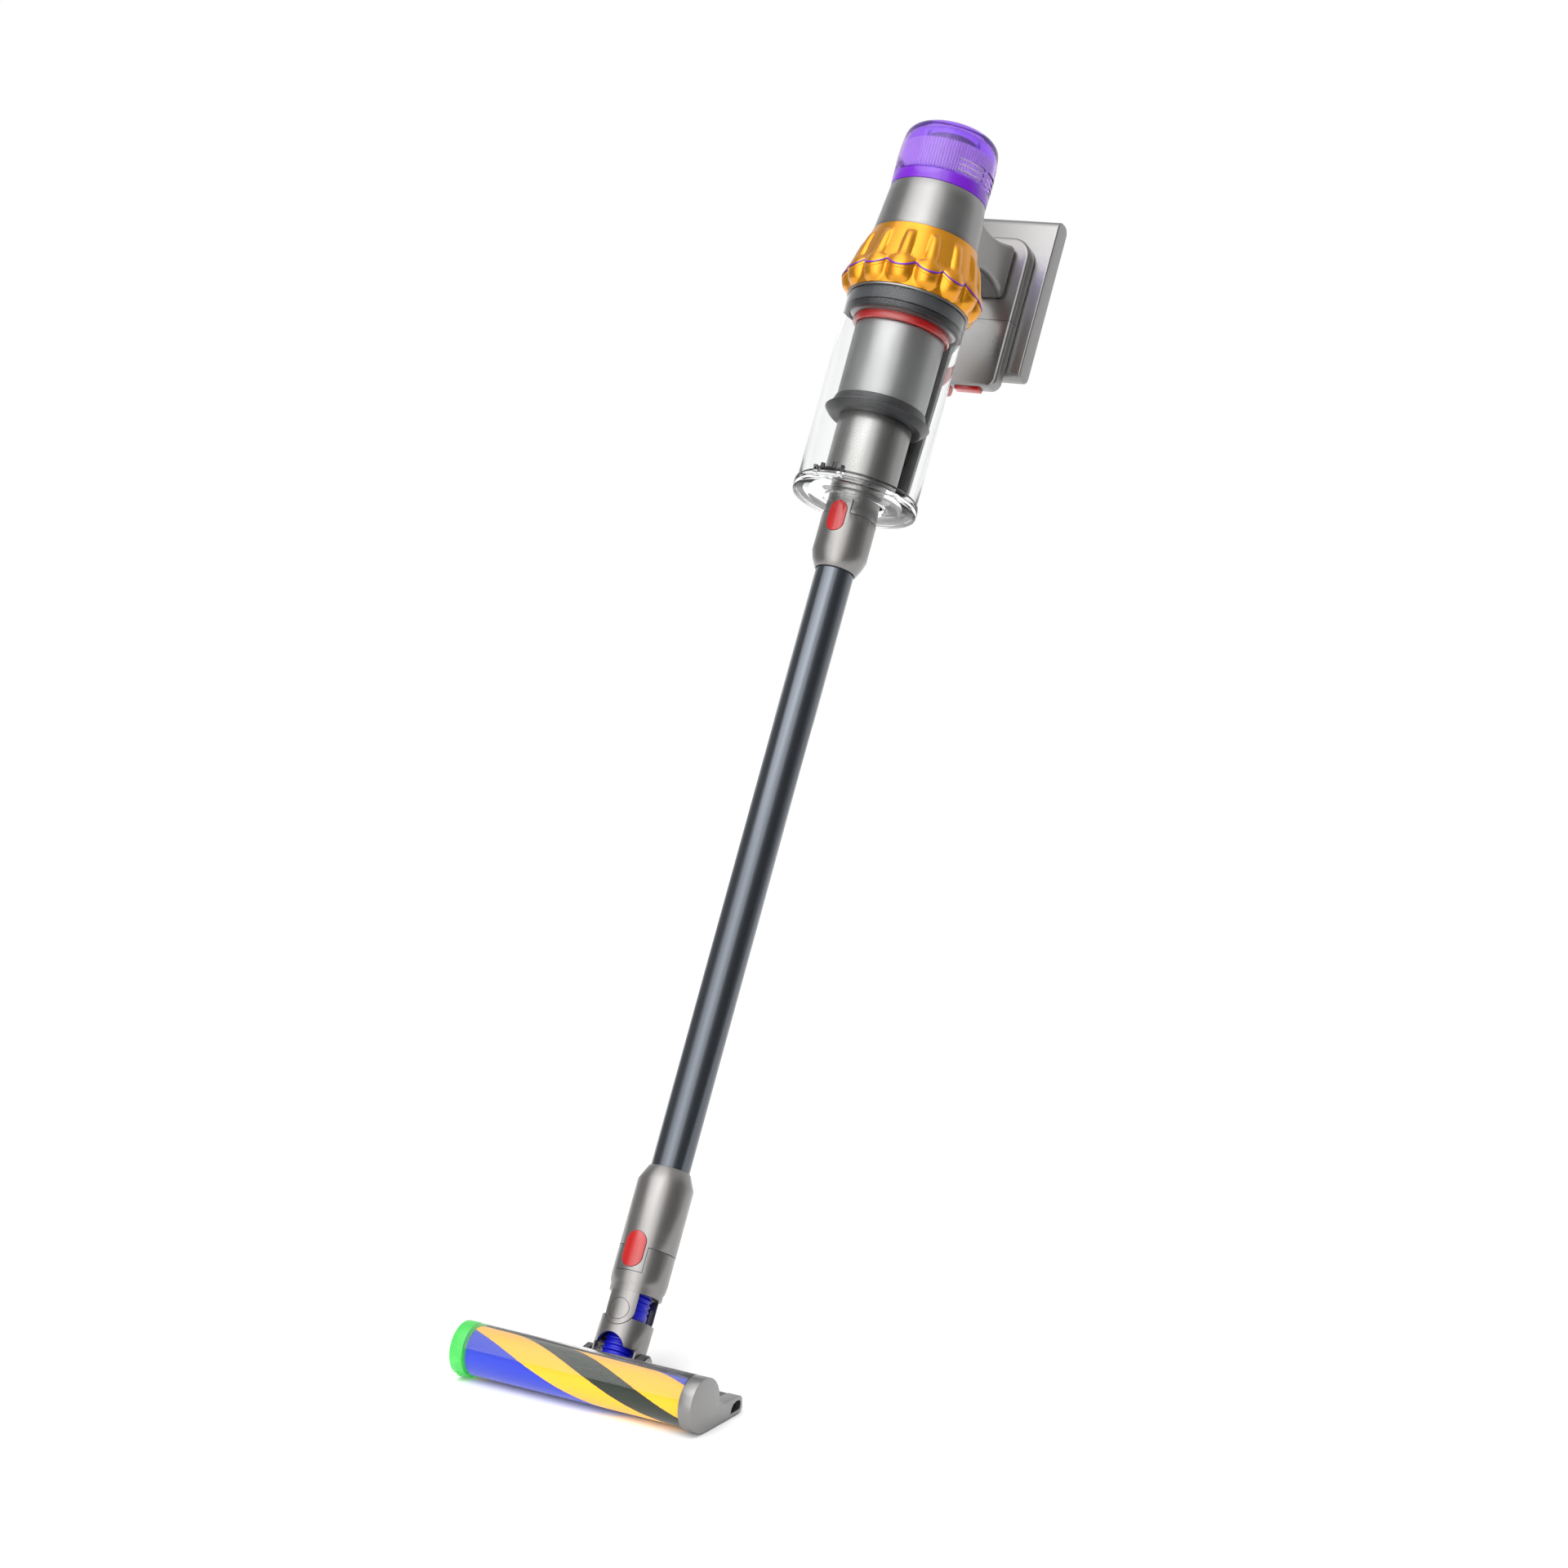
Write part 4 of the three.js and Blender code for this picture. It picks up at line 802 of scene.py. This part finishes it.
class VACUUM_OT_motor(bpy.types.Operator):
    """Motor housing, filter base, pleated filter, clear violet cover and display"""
    bl_idname = "vacuum.motor"
    bl_label = "Motor and Filter"

    def execute(self, context):
        housing = spun([(48, 1092.4), (51.2, 1092.4), (50.6, 1097), (50, 1103), (49.1, 1112),
                        (48.2, 1122), (47.3, 1131), (46.4, 1141), (43.8, 1141), (45.2, 1122), (47, 1103)],
                        128)
        place("motor_shell", soften(housing, 0.4), STICK, "machine", FINISH["silver"], "motor_housing")
        base = spun([(28, 1141.4), (46.5, 1141.4), (46.9, 1152.8), (44.6, 1152.8), (44.4, 1144.6),
                     (28, 1144.6)], 128)
        place("filter_ring", soften(base, 0.4), STICK, "filter_base", FINISH["violet"], "filter_base")
        count = 96
        outline = []
        for i in range(count):
            a = TAU * i / count
            outline += [(math.cos(a + d * TAU / count) * r, math.sin(a + d * TAU / count) * r) for d,
                        r in ((0, 43.1), (0.2, 43.1), (0.5, 38.6), (0.7, 38.6))]
        pleats = cut(slab(outline, 1145, 1186, "Z"), spun([(0, 1140), (29, 1140), (29, 1210), (0, 1210)],
                                                          72))
        place("pleats", pleats, STICK, "filter_base", FINISH["paper"], "filter_pleats")
        cover = soften(spun([(44.7, 1153.2), (46.9, 1153.2), (47.2, 1161), (47.3, 1170), (47.1, 1179),
                             (46.6, 1187), (45.6, 1195), (44.8, 1197.8),
                             (43.6, 1200), (42, 1202.2), (40, 1204), (37.2, 1205.8), (34, 1207),
                             (30, 1208.1), (25.4, 1209), (24, 1205.6), (24, 1150), (26, 1150),
                             (26.2, 1204.2), (32, 1202.6), (38, 1199.8), (41.6, 1197), (43.4, 1193.4),
                             (44.4, 1187), (45.1, 1170)], 128), 0.3)
        slots = []
        for k in range(6):
            middle = 45 * k - 29.5
            for l in (1157.6, 1163.2, 1168.8):
                slots.append(slab(arc(0, 0, 52, middle - 19.5, middle + 19.5,
                                      16) + arc(0, 0, 40, middle + 19.5, middle - 19.5, 16), l - 1.3,
                                      l + 1.3, "Z"))
        place("cover", cut(cover, *slots), STICK, "filter_cover", FINISH["cover"], "filter_cover")
        core = spun([(0, 1136.2), (43.3, 1136.2), (43.3, 1140.4), (23.4, 1140.4), (23.4, 1198.2),
                     (0, 1198.2)], 96)
        place("end_plate", soften(core, 0.3), STICK, "machine", FINISH["graphite"], "motor_end_plate")
        screen = spun([(0, 1198.6), (22.6, 1198.6), (22.6, 1200.4), (21.6, 1201), (0, 1201)], 96)
        place("screen", screen, STICK, "machine", FINISH["screen"], "display")
        for node, finish in (("motor_can", "steel"), ("impeller", "steel")):
            dress(node, FINISH[finish])
        return {"FINISHED"}


class VACUUM_OT_handle(bpy.types.Operator):
    """Grip with its red trigger, and the raised foot under it"""
    bl_idname = "vacuum.handle"
    bl_label = "Handle"

    def execute(self, context):
        grip = [(40, 1102), (66, 1105), (74, 1106.6), (82, 1108.5), (91, 1111), (100, 1112.8),
                (109, 1113.6), (118, 1113.5), (126, 1112.6), (134, 1111), (148.4, 1106),
                (148.4, 1164), (141, 1162.4), (134, 1160), (124, 1156.8), (114, 1154), (103, 1152),
                (92, 1151), (80, 1151.4), (70, 1153), (61, 1155.2), (52, 1158), (40, 1160)]
        clearance = spun([(0, 1080), (51.6, 1080), (51.6, 1092.4), (50.5, 1103), (48.7, 1122),
                          (47.3, 1141), (47.3, 1152.8), (48, 1166), (48, 1175), (0, 1175)], 96)
        body = cut(soften(slab(grip, -GRIP_HALF, GRIP_HALF, "X"), 6, 5, 50), clearance,
                   block(-20, 20, 0, 49.5, 1128, 1180), block(-8.6, 8.6, 66, 98, 1090, 1128))
        place("grip", body, STICK, "machine", FINISH["nickel"], "handle_grip")
        trigger = slab([(66.4, 1095), (70, 1094), (78, 1095), (86, 1097.4), (91, 1100.4), (95, 1104),
                        (97.6, 1110), (97.6, 1121), (66.4, 1121)], -8.2, 8.2, "X")
        place("trigger_pad", soften(trigger, 1.2, 3), STICK, "trigger", FINISH["red"], "trigger")
        foot = common(soften(slab(handle_base(), FOOT_FRONT, FOOT_BACK, "Y"), 3.6, 4, 40),
                      block(-40, 40, 140, 170, 1086, 1200))
        place("foot", foot, STICK, "machine", FINISH["nickel"], "handle_foot")
        return {"FINISHED"}


def handle_base():
    """Outline of the raised foot, shared by the handle and the battery."""
    return (arc(22, 1025, 9, -90, 0, 10) + arc(9, 1153, 22, 0, 90, 20) + arc(-9, 1153, 22, 90, 180,
                                                                             20) + arc(-22, 1025, 9, 180,
            270, 10))


class VACUUM_OT_battery(bpy.types.Operator):
    """Battery with its front hump, flat plate and red release button"""
    bl_idname = "vacuum.battery"
    bl_label = "Battery"

    def execute(self, context):
        base = common(soften(slab(handle_base(), FOOT_FRONT, FOOT_BACK, "Y"), 3.6, 4, 40),
                      block(-40, 40, 140, 170, 1000, 1085.6))
        hump = [(140, 1016), (152, 1016), (152, 1081), (136, 1081)] + arc(136, 1076, 5, 90, 180,
                                                                          8) + [(131, 1024),
                (132.4, 1020.4), (135.4, 1017.8)]
        body = cut(joined(base, soften(slab(hump, -19.5, 19.5, "X"), 2.2, 4, 40)),
                   slab(rounded(-8, 8, 1026, 1076, 7), 120, 137, "Y"),
                   block(-13.5, 13.5, 151.8, 163, 1000, 1021.5))
        place("battery_case", body, STICK, "battery", FINISH["silver"], "battery_body")
        plate = soften(slab(rounded(166, 188, 1034, 1204, 9, 10), -PLATE_HALF, PLATE_HALF, "X"), 1.6, 3,
                       50)
        place("battery_back", plate, STICK, "battery", FINISH["silver"], "battery_plate")
        release = soften(slab(rounded(152.2, 162.6, 1012.6, 1018.8, 2), -13.1, 13.1, "X"), 0.6, 2, 50)
        place("battery_button", release, STICK, "battery_release", FINISH["red"], "battery_release")
        return {"FINISHED"}


FRONT = math.radians(29.83)
# soft boxes standing round the stick: degrees from the front (to the right is positive) and brightness
SOFT_BOXES = ((-180, 0.9), (-140, 0.8), (-122, 0.4), (-82, 0.3), (-68, 0.9), (-56, 2.2), (-40, 2.7),
              (-34, 3.5), (-16, 3.5),
              (-10, 2.6), (2, 2.2), (16, 0.5), (32, 0.18), (62, 0.15), (84, 0.5), (108, 1.2), (135, 1.0),
              (180, 0.9))
# small lamps: name, place, aim, size, power, colour
LAMPS = (("green_glow", (-0.135, -0.085, 0.004), (-0.2, -0.12, 0.0), (0.03, 0.02), 0.03,
          (0.2, 1.0, 0.25)),)


CAMERA_PLACE = (2.04586, -3.30935, 1.45768)
CAMERA_TURN = (29.74, 13.06, 2.14)                      # azimuth, elevation and roll, degrees
CAMERA_LENS = 106.77


def studio_world():
    """Soft boxes round the stick for the light, and a plain white backdrop."""
    world = bpy.data.worlds.new("Studio")
    world.use_nodes = True
    tree = world.node_tree
    background = tree.nodes["Background"]
    coord = tree.nodes.new("ShaderNodeTexCoord")
    turned = tree.nodes.new("ShaderNodeMapping")
    turned.inputs["Rotation"].default_value = (LEAN, 0, 0)
    tree.links.new(coord.outputs["Generated"], turned.inputs["Vector"])
    xyz = tree.nodes.new("ShaderNodeSeparateXYZ")
    tree.links.new(turned.outputs[0], xyz.inputs[0])
    angle = math_node(tree, "ARCTAN2", xyz.outputs["X"], math_node(tree, "MULTIPLY", xyz.outputs["Y"],
                                                                   -1.0))
    turn = math_node(tree, "FRACT", math_node(tree, "ADD", math_node(tree, "DIVIDE",
                                                                     math_node(tree, "SUBTRACT", angle,
            FRONT), TAU), 1.5))
    ramp = tree.nodes.new("ShaderNodeValToRGB")
    ramp.color_ramp.interpolation = "EASE"
    for i, (degrees, level) in enumerate(SOFT_BOXES):
        position = (degrees + 180) / 360
        e = ramp.color_ramp.elements[i] if i < 2 else ramp.color_ramp.elements.new(position)
        e.position, e.color = position, (level, level, level, 1)
    tree.links.new(turn, ramp.inputs["Fac"])
    pole = tree.nodes.new("ShaderNodeMapRange")
    pole.interpolation_type = "SMOOTHSTEP"
    pole.inputs["From Min"].default_value, pole.inputs["From Max"].default_value = 0.55, 0.9
    tree.links.new(math_node(tree, "ABSOLUTE", xyz.outputs["Z"]), pole.inputs["Value"])
    above = tree.nodes.new("ShaderNodeMix")
    above.data_type = "RGBA"
    above.inputs["B"].default_value = (0.8, 0.8, 0.8, 1)
    tree.links.new(pole.outputs["Result"], above.inputs["Factor"])
    tree.links.new(ramp.outputs["Color"], above.inputs["A"])
    path = tree.nodes.new("ShaderNodeLightPath")
    bounces = math_node(tree, "ADD", path.outputs["Glossy Depth"], path.outputs["Diffuse Depth"])
    through = math_node(tree, "MULTIPLY", path.outputs["Is Transmission Ray"],
                        math_node(tree, "LESS_THAN", bounces, 0.5))
    seen = math_node(tree, "MAXIMUM", path.outputs["Is Camera Ray"], through)
    backdrop = tree.nodes.new("ShaderNodeMix")
    backdrop.data_type = "RGBA"
    backdrop.inputs["B"].default_value = (1, 1, 1, 1)
    tree.links.new(seen, backdrop.inputs["Factor"])
    tree.links.new(above.outputs["Result"], backdrop.inputs["A"])
    tree.links.new(backdrop.outputs["Result"], background.inputs["Color"])
    return world


class VACUUM_OT_stage(bpy.types.Operator):
    """Pale floor, soft studio light and the camera"""
    bl_idname = "vacuum.stage"
    bl_label = "Stage"

    def execute(self, context):
        scene = context.scene
        scene.view_settings.view_transform = "Standard"
        span = scene.vacuum_sizes.floor_span / 2
        bm = bmesh.new()
        bmesh.ops.create_grid(bm, x_segments=1, y_segments=1, size=span)
        mesh = bpy.data.meshes.new("floor")
        bm.to_mesh(mesh)
        bm.free()
        floor = bpy.data.objects.new("floor", mesh)
        scene.collection.objects.link(floor)
        pale = bpy.data.materials.new("Pale floor")
        pale.use_nodes = True
        shader = pale.node_tree.nodes["Principled BSDF"]
        shader.inputs["Base Color"].default_value = (0.93, 0.93, 0.93, 1)
        shader.inputs["Roughness"].default_value = 0.7
        shader.inputs["Specular IOR Level"].default_value = 0.1
        mesh.materials.append(pale)
        scene.world = studio_world()
        for name, spot, aim, size, power, colour in LAMPS:
            light = bpy.data.lights.new(name, "AREA")
            light.shape, light.energy, light.color = "RECTANGLE", power, colour
            light.size, light.size_y = size
            lamp = bpy.data.objects.new(name, light)
            lamp.location = spot
            lamp.rotation_euler = (Vector(aim) - Vector(spot)).to_track_quat("-Z", "Y").to_euler()
            scene.collection.objects.link(lamp)
        sun = bpy.data.lights.new("overhead", "SUN")
        sun.energy, sun.angle = 1.1, math.radians(60)
        lamp = bpy.data.objects.new("overhead", sun)
        lamp.rotation_euler = (math.radians(12), math.radians(-14), 0)
        scene.collection.objects.link(lamp)
        azimuth, elevation, roll = (math.radians(a) for a in CAMERA_TURN)
        back = Vector((math.sin(azimuth) * math.cos(elevation), -math.cos(azimuth) * math.cos(elevation),
                       math.sin(elevation)))
        right = (-back).cross(Vector((0, 0, 1))).normalized()
        up = right.cross(-back)
        across = math.cos(roll) * right + math.sin(roll) * up
        upward = -math.sin(roll) * right + math.cos(roll) * up
        axes = Matrix((across, upward, back))
        camera = bpy.data.objects.new("camera", bpy.data.cameras.new("camera"))
        camera.data.sensor_width, camera.data.lens = 36.0, CAMERA_LENS
        camera.matrix_world = Matrix.Translation(CAMERA_PLACE) @ axes.transposed().to_4x4()
        camera.data.clip_end = 200
        scene.collection.objects.link(camera)
        scene.camera = camera
        return {"FINISHED"}


class VACUUM_PT_pieces(bpy.types.Panel):
    """Buttons that build each group of pieces"""
    bl_idname = "VACUUM_PT_pieces"
    bl_label = "Stick Vacuum"
    bl_space_type = "VIEW_3D"
    bl_region_type = "UI"
    bl_category = "Stick Vacuum"

    def draw(self, context):
        for group in (context.scene.vacuum_sizes, context.scene.vacuum_tones):
            for name in group.__annotations__:
                self.layout.prop(group, name)
        for maker in MAKERS:
            self.layout.operator(maker.bl_idname)


MAKERS = (VACUUM_OT_head, VACUUM_OT_neck, VACUUM_OT_wand, VACUUM_OT_bin, VACUUM_OT_cyclones,
          VACUUM_OT_motor,
          VACUUM_OT_handle, VACUUM_OT_battery, VACUUM_OT_stage)
CLASSES = (VacuumSizes, VacuumTones, *MAKERS, VACUUM_PT_pieces)


def register():
    for cls in CLASSES:
        bpy.utils.register_class(cls)
    bpy.types.Scene.vacuum_sizes = bpy.props.PointerProperty(type=VacuumSizes)
    bpy.types.Scene.vacuum_tones = bpy.props.PointerProperty(type=VacuumTones)


def unregister():
    del bpy.types.Scene.vacuum_tones
    del bpy.types.Scene.vacuum_sizes
    for cls in reversed(CLASSES):
        bpy.utils.unregister_class(cls)


def main():
    register()
    scene = bpy.context.scene
    FINISH.update(make_finishes(scene.vacuum_sizes, scene.vacuum_tones))
    for maker in MAKERS:
        area, action = maker.bl_idname.split(".")
        getattr(getattr(bpy.ops, area), action)()


if __name__ == "__main__":
    main()
